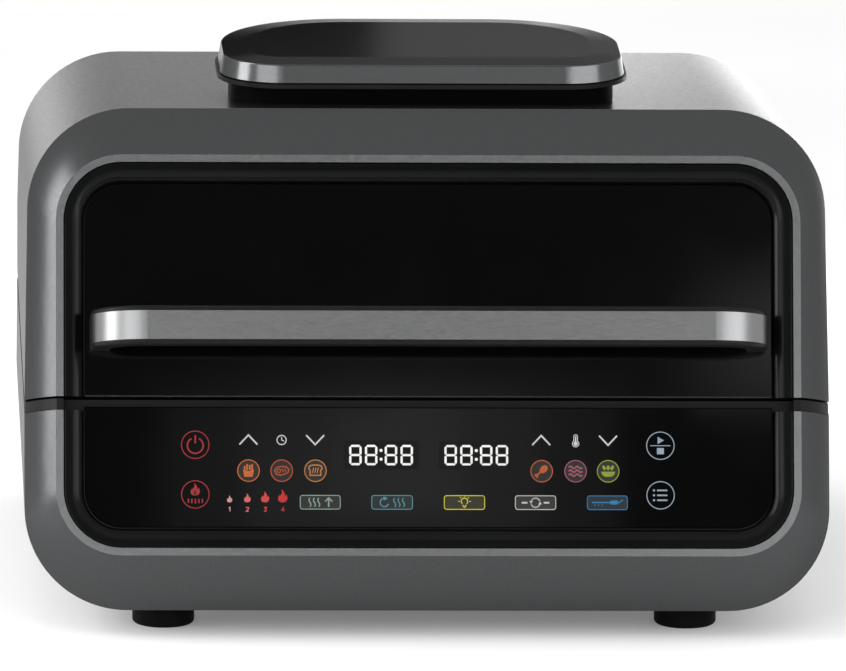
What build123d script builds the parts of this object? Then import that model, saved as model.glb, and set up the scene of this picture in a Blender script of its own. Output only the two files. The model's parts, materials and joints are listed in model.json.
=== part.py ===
from build123d import *
import math
import os

# Countertop grill: a base with a leaning control panel and a rear-hinged lid with a window.
# Millimetres, +X to the right seen from the front, +Y to the rear, +Z up.
# The origin lies on the floor, in the middle of the overall box.

# Overall size and stance
overall_width = 440.0
overall_depth = 420.0
face_height = 275.6
face_lean = 18.0
foot_height = 15.0
top_fall = 29.0
corner_radius = 56.0
lid_draft = 2.4
base_rear_draw = 5.5
lid_rear_draw = 4.5
lid_front_draw = 0.1
draw_rise = 38.0
wall = 2.5
fit_gap = 0.3
seat_gap = 0.1
overrun = 10.0

# Front frame, measured in the plane of the leaning face
frame_depth = 22.0
frame_side_width = 20.7
frame_end_width = 32.0
land_width = 4.1
recess_radius = 32.0
frame_crown = 1.3
parting_groove = 0.6

# Seam between lid and base, measured up the leaning face
seam_rise = 115.0
seam_gap = 1.2
rim_height = 6.0
rim_inset = 0.4
panel_rim_height = 4.2

# Trim ring, glass panes and the plates that carry them
trim_width = 11.2
trim_depth = 7.4
trim_round = 7.0
trim_edge = 0.8
line_gap = 0.4
glass_radius = 20.0
glass_thickness = 4.0
glass_setback = 4.0
glass_edge = 0.5
carrier_thickness = 3.0
window_side_margin = 26.0
window_low_margin = 11.0
window_high_margin = 11.0
inner_glass_thickness = 3.0
inner_glass_lap = 6.0

# Displays and the touch board
display_width = 35.1
display_height = 11.6
display_middle_x = 26.1
display_drop = 26.1
display_depth = 6.0
display_rim = 2.0
board_thickness = 1.6
board_side_margin = 14.0
board_end_margin = 6.0
post_radius = 3.0

# Bar handle
handle_end_clear = 3.1
handle_above_seam = 35.6
handle_reach = 39.0
handle_height = 21.4
handle_depth = 11.0
handle_bend = 30.0
handle_edge = 2.0
strip_height = 15.7
strip_thickness = 1.5
strip_return = 24.0
screw_radius = 2.0
screw_head_radius = 3.6
screw_head_height = 2.0
screw_bite = 12.0
handle_screw_spread = 10.0

# Top cover
cover_side_room = 108.8
cover_depth = 136.0
cover_radius = 34.0
cover_rear_radius = 72.0
cover_setback = 19.8
cover_rise = 21.6
cover_crown = 1.2
cover_crown_run = 16.0
cover_chamfer_height = 10.0
cover_chamfer_run = 1.6
cover_edge = 1.0
lip_overhang = 1.5
lip_thickness = 2.4
lip_line = 0.6
pedestal_inset = 6.0
pedestal_wall = 3.0
vent_width = 3.0
vent_pitch = 9.0
vent_height = 7.0
cover_post_radius = 4.0
small_screw_radius = 1.5
small_head_radius = 3.0
small_head_height = 1.8

# Feet
foot_radius = 17.0
foot_side_inset = 77.0
foot_front_inset = 50.0
foot_rear_inset = 60.0
foot_round = 2.5
foot_hollow_radius = 6.0
foot_hollow_depth = 7.0

# Deck, pot and what stands in it
deck_thickness = 4.0
skirt_depth = 11.0
skirt_end_clear = 8.0
pot_side_room = 65.0
pot_end_room = 80.0
pot_radius = 46.0
pot_wall = 2.0
pot_flange = 8.0
pot_flange_thickness = 1.4
pot_bottom = 50.0
pot_taper = 5.0
well_clear = 6.0
well_sheet = 1.2
well_flange = 8.0
well_bottom = 37.0
drain_width = 60.0
drain_length = 10.0
drain_inset = 26.0
plate_clear = 6.0
plate_lift = 8.0
plate_thickness = 4.0
ridge_width = 4.5
ridge_height = 4.0
ridge_pitch = 16.0
plate_foot_radius = 6.0

# Heaters
heater_radius = 3.25
lower_heater_height = 44.0
lower_heater_side_inset = 43.0
lower_heater_end_inset = 38.0
lower_heater_bend = 24.0
lower_lead_x = 32.0
lower_lead_out = 24.0
clip_width = 10.0
clip_length = 12.0
upper_heater_drop = 23.0
upper_heater_ring = 72.0
upper_heater_open = 24.0
opening_turn = 90.0
upper_lead_out = 12.0
hanger_width = 5.0
hanger_length = 12.0
hanger_lap = 2.0

# Lid inside
ring_plate = 2.5
liner_sheet = 1.5
liner_side_lap = 10.0
liner_front_lap = 10.0
liner_rear_lap = 12.0
liner_radius = 48.0
ceiling_room = 11.0
liner_taper = 14.0
liner_flange = 12.0
liner_window_shares = (0.21, 0.715)
liner_window_inset = 35.0
gasket_width = 7.0
shield_side_room = 47.0
shield_end_room = 53.0
shield_radius = 30.0
shield_sheet = 1.2
shield_drop = 40.0
shield_hole_radius = 4.0
shield_hole_pitch = 16.0
shield_margin = 22.0
shield_clip_radius = 2.5
shield_clip_inset = 14.0

# Fan and motor
shaft_radius = 3.0
shaft_clearance = 0.05
shaft_drop = 24.0
shaft_rise = 53.0
motor_radius = 27.0
motor_rise = 10.0
motor_height = 30.0
motor_round = 3.0
bracket_radius = 42.0
bracket_thickness = 2.0
bracket_leg_radius = 3.5
bracket_leg_circle = 36.0
motor_opening_radius = 48.0
ceiling_hole_radius = 7.0
fan_radius = 56.0
fan_drop = 17.0
fan_disc = 1.2
fan_blade_height = 11.0
fan_blade_thickness = 1.2
fan_hub_radius = 7.0
fan_blades = 12
cooler_radius = 36.0
cooler_clear = 2.5
cooler_blade_height = 5.0
cooler_blades = 9

# Lamp and temperature sensor in the lid
lamp_radius = 14.0
lamp_depth = 16.0
lamp_y = 10.0
lens_depth = 4.0
sensor_radius = 2.5
sensor_length = 40.0
sensor_y = 60.0

# Rear panels, hinge, cord gland
rear_panel_thickness = 2.5
rear_panel_setback = 0.5
hinge_side_room = 100.0
knuckle_radius = 6.0
pin_radius = 2.5
pin_clearance = 0.05
knuckle_length = 12.0
lid_knuckle_length = 15.0
knuckle_gap = 0.4
leaf_thickness = 2.5
leaf_height = 30.0
leaf_clear = 9.0
leaf_screw_inset = 6.0
hinge_drop = 3.4
louvre_centre_room = 35.0
louvre_hinge_room = 15.0
louvre_height = 3.0
louvre_pitch = 8.0
louvre_rise = 25.6
louvre_top_room = 22.0
base_louvre_drop = 47.5
base_louvre_count = 4
panel_screw_inset = 12.0
gland_side_room = 70.0
gland_height = 52.0
gland_bore_radius = 3.6
gland_body_radius = 8.0
gland_flange_radius = 11.5
gland_flange_thickness = 2.5
gland_inner_length = 6.0
gland_nose_length = 6.0

# Grease drawer and runners
drawer_side_room = 110.0
drawer_depth = 186.0
drawer_height = 14.0
drawer_wall = 2.0
drawer_lift = 1.6
drawer_face_lap = 12.0
drawer_face_height = 22.0
drawer_face_thickness = 3.0
drawer_face_radius = 4.0
pull_width = 70.0
pull_reach = 6.0
pull_thickness = 3.0
runner_width = 6.0
runner_height = 11.0
runner_shelf = 7.0

# Power board
bracket_sheet = 2.0
power_bracket_clear = 1.0
power_bracket_foot = 34.0
power_bracket_low = 18.6
power_bracket_top = 100.0
power_half_length = 60.0
power_board_low = 40.0
power_board_stand = 3.0
part_height_shares = (0.85, 1.0, 0.55, 0.7)
part_place_shares = (-0.72, -0.22, 0.28, 0.74)
part_length = 20.0
part_depth = 20.0
cutout_radius = 9.0
cutout_depth = 6.0
cutout_height = 82.0

# Places worked out from the sizes above
half_width = overall_width / 2
lean_sin = math.sin(math.radians(face_lean))
lean_cos = math.cos(math.radians(face_lean))
land_low = frame_end_width - land_width
land_side = frame_side_width - land_width
face_y = -overall_depth / 2 + frame_depth * lean_cos - land_low * lean_sin
hinge_y = overall_depth / 2 - knuckle_radius
rear_y = hinge_y - knuckle_radius - seat_gap - fit_gap
recess_half = half_width - frame_side_width
recess_low = frame_end_width
recess_high = face_height - frame_end_width
glass_front = frame_depth - glass_setback
glass_back = glass_front - glass_thickness
carrier_front = glass_back - seat_gap
carrier_back = carrier_front - carrier_thickness
glass_half = recess_half - trim_width - line_gap
glass_low = recess_low + trim_width + line_gap
glass_high = recess_high - trim_width - line_gap
rim_top_rise = seam_rise - seam_gap
base_top_rise = rim_top_rise - rim_height
control_top_rise = rim_top_rise - panel_rim_height
handle_front = glass_front + handle_reach
face = Plane(origin=(0, face_y, foot_height), x_dir=(1, 0, 0), z_dir=(0, -lean_cos, lean_sin))
wrap_front = Plane(face.origin + Vector(0, parting_groove, 0), x_dir=(1, 0, 0), z_dir=face.z_dir)
wrap_rear = Plane(origin=(0, rear_y, foot_height), x_dir=(1, 0, 0), z_dir=(0, -1, 0))


def face_height_at(rise, proud=0):
    """Height above the floor of a point on the leaning face."""
    return foot_height + rise * lean_cos + proud * lean_sin


def face_y_at(rise, proud=0):
    """Place from front to rear of a point on the leaning face."""
    return face_y + rise * lean_sin - proud * lean_cos


front_top_height = face_height_at(face_height)
rear_top_height = front_top_height - top_fall
lid_low = face_height_at(seam_rise)
deck_top = face_height_at(rim_top_rise)
base_wrap_top = face_height_at(base_top_rise)
hinge_height = lid_low - hinge_drop
panel_rear_y = rear_y - rear_panel_setback
panel_front_y = panel_rear_y - rear_panel_thickness
floor_low = foot_height + seat_gap
floor_top = floor_low + wall
display_middle_rise = control_top_rise - display_drop
handle_half_length = glass_half - handle_end_clear
handle_rise = seam_rise + handle_above_seam
foot_half_spacing = half_width - foot_side_inset
foot_front_y = foot_front_inset - overall_depth / 2
foot_rear_y = overall_depth / 2 - foot_rear_inset
pot_width = overall_width - 2 * pot_side_room
pot_depth = overall_depth - 2 * pot_end_room
drain_y = pot_depth / 2 - drain_inset
lower_heater_half_x = pot_width / 2 - lower_heater_side_inset
lower_heater_half_y = pot_depth / 2 - lower_heater_end_inset
power_bracket_x = pot_width / 2 + well_clear + well_sheet + power_bracket_clear
liner_half_width = pot_width / 2 + liner_side_lap
liner_front_y = -pot_depth / 2 - liner_front_lap
liner_rear_y = pot_depth / 2 + liner_rear_lap
liner_low = lid_low + ring_plate + 2 * seat_gap
liner_ceiling = rear_top_height - ceiling_room
ceiling_top = liner_ceiling + liner_sheet
liner_height = liner_ceiling - liner_low
liner_window_low = liner_low + liner_window_shares[0] * liner_height
liner_window_high = liner_low + liner_window_shares[1] * liner_height
liner_window_half = liner_half_width - liner_window_inset
lamp_height = liner_low + liner_height / 2
shield_width = 2 * (liner_half_width - shield_side_room)
shield_depth = liner_rear_y - liner_front_y - 2 * shield_end_room
shield_height = liner_ceiling - shield_drop
upper_heater_height = liner_ceiling - upper_heater_drop
fan_low = liner_ceiling - fan_drop
shaft_low = liner_ceiling - shaft_drop
shaft_high = liner_ceiling + shaft_rise
motor_low = liner_ceiling + motor_rise
cooler_low = motor_low + motor_height + cooler_clear
hinge_half_spacing = half_width - hinge_side_room
louvre_width = hinge_half_spacing - louvre_hinge_room - louvre_centre_room
louvre_middle_x = louvre_centre_room + louvre_width / 2
louvre_low = lid_low + louvre_rise
louvre_count = int((rear_top_height - louvre_top_room - louvre_low) / louvre_pitch)
base_louvre_low = base_wrap_top - base_louvre_drop
gland_x = gland_side_room - half_width
drawer_width = overall_width - 2 * drawer_side_room
drawer_face_width = drawer_width + 2 * drawer_face_lap
cover_width = overall_width - 2 * cover_side_room
cover_middle_y = face_y_at(face_height) + cover_setback + cover_depth / 2
cover_top = front_top_height + cover_rise
lip_top = cover_top - cover_crown - cover_chamfer_height - lip_line
lip_low = lip_top - lip_thickness
fan_axis = Pos(0, cover_middle_y, 0)


def outline(plane, inset, high, seam, base_draw=0, lid_draw=0):
    """Outline of the body on a plane: upright to the seam, a bend above it, then drawn in to the top.

    The draws narrow the base and the lid, as they do towards the rear.
    """
    half = half_width - inset
    half_top = half - lid_draw - lid_draft
    half_bend = half - lid_draw - lid_draft * draw_rise / (high - seam)
    half_low = half - base_draw
    right = [(half_low, inset), (half_low, seam), (half_bend, seam + draw_rise), (half_top, high)]
    return mirrored_outline(plane, right, corner_radius - inset)


def mirrored_outline(plane, right, radius):
    """Rounded outline from its right half's points, from the bottom to the top."""
    return rounded_outline(plane, right + [(-x, y) for x, y in reversed(right)], radius)


def rear_outline(inset):
    """Outline of the body's rear end, drawn in by an inset."""
    high = rear_top_height - foot_height - inset
    return outline(wrap_rear, inset, high, lid_low - foot_height, base_rear_draw, lid_rear_draw)


def rounded_outline(plane, points, radius):
    """Face with rounded lower and upper corners and plain points at the seam."""
    sharp = make_face(Polyline(*points, close=True))
    lower = fillet(sharp.vertices().sort_by(Axis.Y)[:2], radius)
    return plane * fillet(lower.vertices().sort_by(Axis.Y)[-2:], radius)


def body_sections(inset):
    """Front and rear sections of the wrap, drawn in by an inset."""
    front = outline(wrap_front, inset, face_height - inset, seam_rise, 0, lid_front_draw)
    return [front, rear_outline(inset)]


def body_form(inset):
    """The wrap's form as one filled solid, drawn in by an inset."""
    return loft(body_sections(inset), ruled=True)


def level_cut(shape, low, high):
    """The part of a shape between two heights."""
    above = split(shape, bisect_by=Plane.XY.offset(low), keep=Keep.TOP)
    return split(above, bisect_by=Plane.XY.offset(high), keep=Keep.BOTTOM)


def face_block(half, low, high, back, front):
    """A block in the face's own directions: half width, low and high up the face, back and front."""
    sketch = Pos(0, (low + high) / 2) * Rectangle(2 * half, high - low)
    return extrude(face.offset(back) * sketch, front - back)


def face_slab(half, low, high, radius, back, front):
    """A rounded plate parallel to the face."""
    sketch = Pos(0, (low + high) / 2) * RectangleRounded(2 * half, high - low, radius)
    return extrude(face.offset(back) * sketch, front - back)


def face_rod(x, rise, radius, back, front):
    """A rod square to the face."""
    return extrude(face.offset(back) * Pos(x, rise) * Circle(radius), front - back)


def above_seam(shape, rise):
    """What lies above a line up the face."""
    return shape & face_block(overall_width, rise, face_height + overrun, -overrun, frame_depth + overrun)


def below_seam(shape, rise):
    """What lies below a line up the face."""
    return shape & face_block(overall_width, -overrun, rise, -overrun, frame_depth + overrun)


def block(low, high):
    """A box between two corners."""
    size = [b - a for a, b in zip(low, high)]
    return Pos(*[(a + b) / 2 for a, b in zip(low, high)]) * Box(*size)


def upright_slab(width, depth, radius, low, high, middle_y=0):
    """A rounded rectangle standing between two heights."""
    return extrude(Pos(0, middle_y, low) * RectangleRounded(width, depth, radius), high - low)


def upright_rod(x, y, radius, low, high):
    """A rod standing between two heights."""
    return extrude(Pos(x, y, low) * Circle(radius), high - low)


def rear_rod(x, height, radius, front, rear):
    """A rod along the front to rear direction."""
    return Pos(x, front, height) * Rot(-90, 0, 0) * extrude(Circle(radius), rear - front)


def side_rod(left, right, y, height, radius):
    """A rod along the width."""
    return Pos(left, y, height) * Rot(0, 90, 0) * extrude(Circle(radius), right - left)


def wrap_tube():
    """The sheet wrap over the whole body, open at front and rear."""
    outer = body_sections(0)
    inner = body_sections(wall)
    return loft([big - small for big, small in zip(outer, inner)], ruled=True)


def foot_places():
    """Middles of the four feet."""
    return [(x, y) for x in (-foot_half_spacing, foot_half_spacing) for y in (foot_front_y, foot_rear_y)]


def base_wrap():
    """Lower half of the wrap, on a flat floor plate with the holes of the foot screws."""
    shell = level_cut(wrap_tube(), floor_low, base_wrap_top) + level_cut(body_form(0), floor_low, floor_top)
    for x, y in foot_places():
        shell -= upright_rod(x, y, screw_radius + seat_gap, 0, floor_top + overrun)
    return shell


def lid_wrap():
    shell = split(wrap_tube(), bisect_by=Plane.XY.offset(lid_low), keep=Keep.TOP)
    return shell - fan_axis * upright_rod(0, 0, motor_opening_radius, liner_ceiling, cover_top)


def frame_form(inset):
    """The convex outside of the front frame as one filled solid, drawn in by an inset."""
    middle = frame_crown - inset
    side_mid = half_width - land_side / 2 + middle
    low_mid = land_low / 2 - middle
    front = face.offset(frame_depth - inset)
    land_radius = recess_radius + land_width
    half = half_width - land_side - inset
    low = land_low + inset
    high = face_height - low
    land = [(half, low), (half, seam_rise), (half, high)]
    top_mid = side_mid - lid_draft / 2
    between = [(side_mid, low_mid), (side_mid, seam_rise), (top_mid, face_height - low_mid)]
    top = half_width - inset - lid_draft
    edge = [(half_width - inset, inset), (half_width - inset, seam_rise), (top, face_height - inset)]
    mid_radius = (corner_radius + land_radius) / 2 + middle
    sections = [
        mirrored_outline(face, edge, corner_radius - inset),
        mirrored_outline(face.offset(frame_depth / 2 + middle), between, mid_radius),
        mirrored_outline(front, land, land_radius - inset),
    ]
    return loft(sections)


def front_frame():
    """The whole frame ring before it is parted at the seam."""
    opening = face_slab(recess_half, recess_low, recess_high, recess_radius, -overrun, frame_depth + overrun)
    return frame_form(0) - opening


def base_front_frame():
    return below_seam(front_frame(), base_top_rise - fit_gap)


def lid_front_frame():
    return above_seam(front_frame(), seam_rise)


def trim_ring():
    """Rounded black bead between the frame and the panes."""
    outer_half = recess_half - line_gap
    inner_half = glass_half + line_gap
    back = carrier_front + seat_gap
    front = back + trim_depth
    low = recess_low + line_gap
    high = recess_high - line_gap
    outer = face_slab(outer_half, low, high, recess_radius - line_gap, back, front)
    inner_radius = glass_radius + line_gap
    inner_low = glass_low - line_gap
    inner_high = glass_high + line_gap
    inner = face_slab(inner_half, inner_low, inner_high, inner_radius, back - overrun, front + overrun)
    ring = outer - inner
    outward = Axis(face.origin, face.z_dir)
    ring = fillet(ring.faces().sort_by(outward)[-1].inner_wires()[0].edges(), trim_round)
    return fillet(ring.faces().sort_by(outward)[-1].outer_wire().edges(), trim_edge)


def panel_trim():
    return below_seam(trim_ring(), base_top_rise - fit_gap)


def window_trim():
    return above_seam(trim_ring(), seam_rise)


def glass_plate():
    """The rounded pane area before it is parted into window and control panel."""
    return face_slab(glass_half, glass_low, glass_high, glass_radius, glass_back, glass_front)


def eased_front(pane):
    """A pane with its front edges eased."""
    front = pane.faces().sort_by(Axis(face.origin, face.z_dir))[-1]
    return chamfer(front.edges(), glass_edge)


def handle_screw_places():
    """Sides and rises of the screws in the two handle ends."""
    x = handle_half_length - handle_depth / 2
    rises = (handle_rise - handle_screw_spread / 2, handle_rise + handle_screw_spread / 2)
    return [(side * x, rise) for side in (-1, 1) for rise in rises]


def handle_screw_holes(back, front):
    """Clearance holes for the handle screws."""
    radius = screw_radius + seat_gap
    return [face_rod(x, rise, radius, back, front) for x, rise in handle_screw_places()]


def control_panel():
    return eased_front(below_seam(glass_plate(), control_top_rise))


def window_glass():
    pane = eased_front(above_seam(glass_plate(), seam_rise + fit_gap))
    return pane - handle_screw_holes(glass_back - overrun, glass_front + overrun)


def carrier_plate():
    """The plate behind trim and panes, over the whole recess."""
    half = recess_half - seat_gap
    low = recess_low + seat_gap
    high = recess_high - seat_gap
    return face_slab(half, low, high, recess_radius - seat_gap, carrier_back, carrier_front)


def window_carrier():
    plate = above_seam(carrier_plate(), seam_rise + fit_gap)
    low = seam_rise + window_low_margin
    high = glass_high - window_high_margin
    half = glass_half - window_side_margin
    view = face_slab(half, low, high, glass_radius / 2, carrier_back - overrun, carrier_front + overrun)
    return plate - view - handle_screw_holes(carrier_back - overrun, carrier_front + overrun)


def board_limits():
    """Half width, low and high of the touch board on the face."""
    return glass_half - board_side_margin, glass_low + board_end_margin, base_top_rise - board_end_margin


def board_back():
    """Place of the touch board's rear face."""
    return glass_back - display_depth - board_thickness


def post_places():
    """Places of the posts that hold the touch board."""
    half, low, high = board_limits()
    margin = 2 * post_radius
    return [(x, rise) for x in (margin - half, 0, half - margin) for rise in (low + margin, high - margin)]


def pcb_carrier():
    plate = below_seam(carrier_plate(), base_top_rise - fit_gap)
    half = display_width / 2 + display_rim
    low = display_middle_rise - display_height / 2 - display_rim
    high = display_middle_rise + display_height / 2 + display_rim
    for x in (-display_middle_x, display_middle_x):
        sketch = Pos(x, (low + high) / 2) * Rectangle(2 * half, high - low)
        plate -= extrude(face.offset(carrier_back - overrun) * sketch, carrier_thickness + 2 * overrun)
    board_front = board_back() + board_thickness
    posts = [face_rod(x, rise, post_radius, board_front, carrier_back) for x, rise in post_places()]
    return plate + posts


def touch_pcb():
    half, low, high = board_limits()
    back = board_back()
    return face_slab(half, low, high, post_radius, back, back + board_thickness - seat_gap)


def display_modules():
    modules = []
    back = board_back() + board_thickness
    for x in (-display_middle_x, display_middle_x):
        window = RectangleRounded(display_width, display_height, display_rim / 2)
        sketch = Pos(x, display_middle_rise) * window
        modules.append(extrude(face.offset(back) * sketch, display_depth - seat_gap))
    return Part() + modules


handle_origin = (0, face_y_at(handle_rise), face_height_at(handle_rise))
handle_plane = Plane(origin=handle_origin, x_dir=(1, 0, 0), z_dir=(0, -lean_sin, -lean_cos))


def handle_profile(inset):
    """Filled outline of the bar seen from above, drawn in by an inset, from the pane to the front."""
    back = glass_front + seat_gap - inset
    half = handle_half_length - inset
    front = handle_front - inset
    sharp = Pos(0, (back + front) / 2) * Rectangle(2 * half, front - back)
    return fillet(sharp.vertices().sort_by(Axis.Y)[-2:], handle_bend - inset)


def handle_ahead(back):
    """A wide rectangle ahead of a line, seen from above."""
    return Pos(0, back + handle_front / 2) * Rectangle(3 * handle_half_length, handle_front)


def handle_layer(sketch, height):
    """A sketch of the bar raised to a height, half above and half below the bar's middle."""
    return extrude(handle_plane * sketch, height / 2, both=True)


def handle_body():
    solid = handle_layer(handle_profile(0) - handle_profile(handle_depth), handle_height)
    ends = solid.faces().filter_by(handle_plane)
    solid = fillet(ends.edges(), handle_edge)
    pocket = handle_ahead(handle_front - strip_return - seat_gap) - handle_profile(strip_thickness + seat_gap)
    solid -= handle_layer(pocket, strip_height + 2 * seat_gap)
    return solid - handle_screw_holes(0, glass_front + screw_bite + seat_gap)


def handle_strip():
    band = handle_profile(0) - handle_profile(strip_thickness)
    return handle_layer(band & handle_ahead(handle_front - strip_return), strip_height)


def handle_screws():
    screws = []
    for x, rise in handle_screw_places():
        head = face_rod(x, rise, screw_head_radius, carrier_back - seat_gap - screw_head_height, carrier_back)
        screws.append(head + face_rod(x, rise, screw_radius, carrier_back, glass_front + screw_bite))
    return Part() + screws


def cover_section(inset, height):
    """A section of the cover at a height, drawn in by an inset; its rear corners are the rounder ones."""
    shape = Rectangle(cover_width - 2 * inset, cover_depth - 2 * inset)
    shape = fillet(shape.vertices().sort_by(Axis.Y)[:2], cover_radius - inset)
    shape = fillet(shape.vertices().sort_by(Axis.Y)[-2:], cover_rear_radius - inset)
    return Pos(0, cover_middle_y, height) * shape


def cover_slab(inset, low, high):
    """A slab with the cover's outline drawn in by an inset."""
    return extrude(cover_section(inset, low), high - low)


def cover_screw_places():
    """Places of the four screws that hold the cover to its lip."""
    places = []
    for side in (-1, 1):
        for end, radius in ((-1, cover_radius), (1, cover_rear_radius)):
            room = radius / 2 + cover_post_radius
            places.append((side * (cover_width / 2 - room), cover_middle_y + end * (cover_depth / 2 - room)))
    return places


def top_cover():
    low = lip_top + lip_line
    crease = low + cover_chamfer_height
    sides = loft([cover_section(0, low), cover_section(cover_chamfer_run, crease)], ruled=True)
    crown_inset = cover_chamfer_run + cover_crown_run
    crown_sections = [cover_section(cover_chamfer_run, crease), cover_section(crown_inset, cover_top)]
    crown = loft(crown_sections, ruled=True)
    hollow_inset = cover_chamfer_run + wall
    hollow = loft([cover_section(wall, low), cover_section(hollow_inset, crease - wall)], ruled=True)
    posts = [upright_rod(x, y, cover_post_radius, low - lip_line, crease) for x, y in cover_screw_places()]
    holes = []
    for x, y in cover_screw_places():
        holes.append(upright_rod(x, y, small_screw_radius + seat_gap, lip_low, crease - wall))
    form = sides + crown
    form = fillet(form.edges().filter_by_position(Axis.Z, crease - seat_gap, crease + seat_gap), cover_edge)
    return form - hollow + posts - holes


def cover_lip():
    lip = cover_slab(-lip_overhang, lip_low, lip_top - seat_gap)
    lip -= fan_axis * upright_rod(0, 0, motor_opening_radius, lip_low - overrun, cover_top)
    radius = small_screw_radius + seat_gap
    return lip - [upright_rod(x, y, radius, lip_low - overrun, cover_top) for x, y in cover_screw_places()]


def cover_pedestal():
    ring = cover_slab(pedestal_inset, liner_ceiling, lip_low)
    ring -= cover_slab(pedestal_inset + pedestal_wall, liner_ceiling - overrun, lip_low + overrun)
    ring -= body_form(0)
    rear = cover_middle_y + cover_depth / 2 - pedestal_inset
    count = int((cover_width / 2 - cover_rear_radius) / vent_pitch)
    for step in range(-count, count + 1):
        x = step * vent_pitch
        low = (x - vent_width / 2, rear - 2 * pedestal_wall, lip_low - pedestal_wall - vent_height)
        ring -= block(low, (x + vent_width / 2, rear + pedestal_wall, lip_low - pedestal_wall))
    return ring


def cover_screws():
    screws = []
    low = lip_low - seat_gap
    top = lip_top + cover_chamfer_height - wall
    for x, y in cover_screw_places():
        head = upright_rod(x, y, small_head_radius, low - small_head_height, low)
        screws.append(head + upright_rod(x, y, small_screw_radius, low, top))
    return Part() + screws


def rubber_feet():
    feet = []
    for x, y in foot_places():
        foot = upright_rod(x, y, foot_radius, 0, foot_height)
        foot = fillet(foot.edges().sort_by(Axis.Z)[0], foot_round)
        foot -= upright_rod(x, y, foot_hollow_radius, 0, foot_hollow_depth)
        feet.append(foot - upright_rod(x, y, screw_radius + seat_gap, 0, foot_height))
    return Part() + feet


def foot_screws():
    screws = []
    for x, y in foot_places():
        low = foot_hollow_depth - screw_head_height - seat_gap
        head = upright_rod(x, y, screw_head_radius, low, foot_hollow_depth - seat_gap)
        screws.append(head + upright_rod(x, y, screw_radius, low, floor_top + screw_radius))
    return Part() + screws


def base_deck():
    """Deck with the pot opening, its rim under the seam and a skirt inside the wrap."""
    room = level_cut(body_form(wall + seat_gap), deck_top - skirt_depth, deck_top)
    under = level_cut(body_form(2 * wall + seat_gap), deck_top - skirt_depth, deck_top - deck_thickness)
    rim = level_cut(body_form(rim_inset), base_wrap_top + fit_gap, deck_top)
    deck = room + rim - under
    rear_low = (-overall_width, panel_front_y - skirt_end_clear, 0)
    deck -= block(rear_low, (overall_width, overall_depth, base_wrap_top + fit_gap))
    deck -= block((-overall_width, panel_rear_y, 0), (overall_width, overall_depth, lid_low))
    band = frame_form(rim_inset) & face_block(overall_width, base_top_rise, rim_top_rise, 0, frame_depth)
    ledge = face_block(half_width - corner_radius, base_top_rise, rim_top_rise, -wall, wall)
    band -= face_block(recess_half, 0, face_height, carrier_front - fit_gap, frame_depth + overrun)
    deck = deck + band + ledge
    mouth_width = pot_width + 2 * pot_wall
    mouth_depth = pot_depth + 2 * pot_wall
    opening = upright_slab(mouth_width, mouth_depth, pot_radius + pot_wall, 0, lid_low)
    grown = 2 * (pot_flange + fit_gap)
    step_low = deck_top - pot_flange_thickness - fit_gap
    step = upright_slab(pot_width + grown, pot_depth + grown, pot_radius + grown / 2, step_low, lid_low)
    return deck - opening - step


def cooking_pot():
    top = deck_top - fit_gap
    flange = upright_slab(
        pot_width + 2 * pot_flange,
        pot_depth + 2 * pot_flange,
        pot_radius + pot_flange,
        top - pot_flange_thickness + seat_gap,
        top,
    )
    outer = pot_form(0, pot_bottom, top)
    inner = pot_form(pot_wall, pot_bottom + pot_wall, top + overrun)
    return flange + outer - inner


def pot_form(inset, low, high):
    """Filled tapered form of the pot, drawn in by an inset."""
    sections = []
    for height in (low, high):
        share = (height - pot_bottom) / (deck_top - pot_bottom)
        drawn = inset + pot_taper * (1 - share)
        shape = RectangleRounded(pot_width - 2 * drawn, pot_depth - 2 * drawn, pot_radius - drawn)
        sections.append(Pos(0, 0, height) * shape)
    return loft(sections, ruled=True)


def well_slab(grow, low, high):
    """Filled form of the well, grown outwards."""
    grown = 2 * (well_clear + grow)
    return upright_slab(pot_width + grown, pot_depth + grown, pot_radius + grown / 2, low, high)


def pot_well():
    top = deck_top - deck_thickness - seat_gap
    flange = well_slab(well_sheet + well_flange, top - well_sheet, top)
    shell = flange + well_slab(well_sheet, well_bottom, top)
    shell -= well_slab(0, well_bottom + well_sheet, top + overrun)
    for x in (-lower_lead_x, lower_lead_x):
        shell -= rear_rod(x, lower_heater_height, heater_radius + fit_gap, pot_depth / 2, pot_depth)
    drain_low = (-drain_width / 2, drain_y, 0)
    return shell - block(drain_low, (drain_width / 2, drain_y + drain_length, well_bottom + wall))


def grill_plate():
    """Ribbed plate on four feet in the pot."""
    cut = 2 * (pot_taper + pot_wall + plate_clear)
    low = pot_bottom + pot_wall + plate_lift
    top = low + plate_thickness
    width = pot_width - cut
    depth = pot_depth - cut
    radius = pot_radius - cut / 2
    plate = upright_slab(width, depth, radius, low, top)
    count = int((width / 2 - radius) / ridge_pitch)
    ridges = []
    for step in range(-count, count + 1):
        x = step * ridge_pitch
        reach = depth / 2 - plate_clear
        corner = (x + ridge_width / 2, reach, top + ridge_height)
        ridges.append(block((x - ridge_width / 2, -reach, top), corner))
    foot_x = width / 2 - radius
    foot_y = depth / 2 - radius
    feet = []
    for x in (-foot_x, foot_x):
        for y in (-foot_y, foot_y):
            feet.append(upright_rod(x, y, plate_foot_radius, low - plate_lift + seat_gap, low))
    return plate + ridges + feet


def lower_heater_path():
    """Route of the lower heater, from one lead round the pot's bottom to the other."""
    out = pot_depth / 2 + well_clear + well_sheet + lower_lead_out
    half_x = lower_heater_half_x
    half_y = lower_heater_half_y
    right = [(half_x, -half_y), (half_x, half_y), (lower_lead_x, half_y), (lower_lead_x, out)]
    left = [(-x, y) for x, y in reversed(right)]
    points = [(x, y, lower_heater_height) for x, y in left + right]
    return FilletPolyline(*points, radius=lower_heater_bend)


def lower_heater():
    path = lower_heater_path()
    section = Plane(origin=path @ 0, z_dir=path % 0) * Circle(heater_radius)
    return sweep(section, path)


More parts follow.
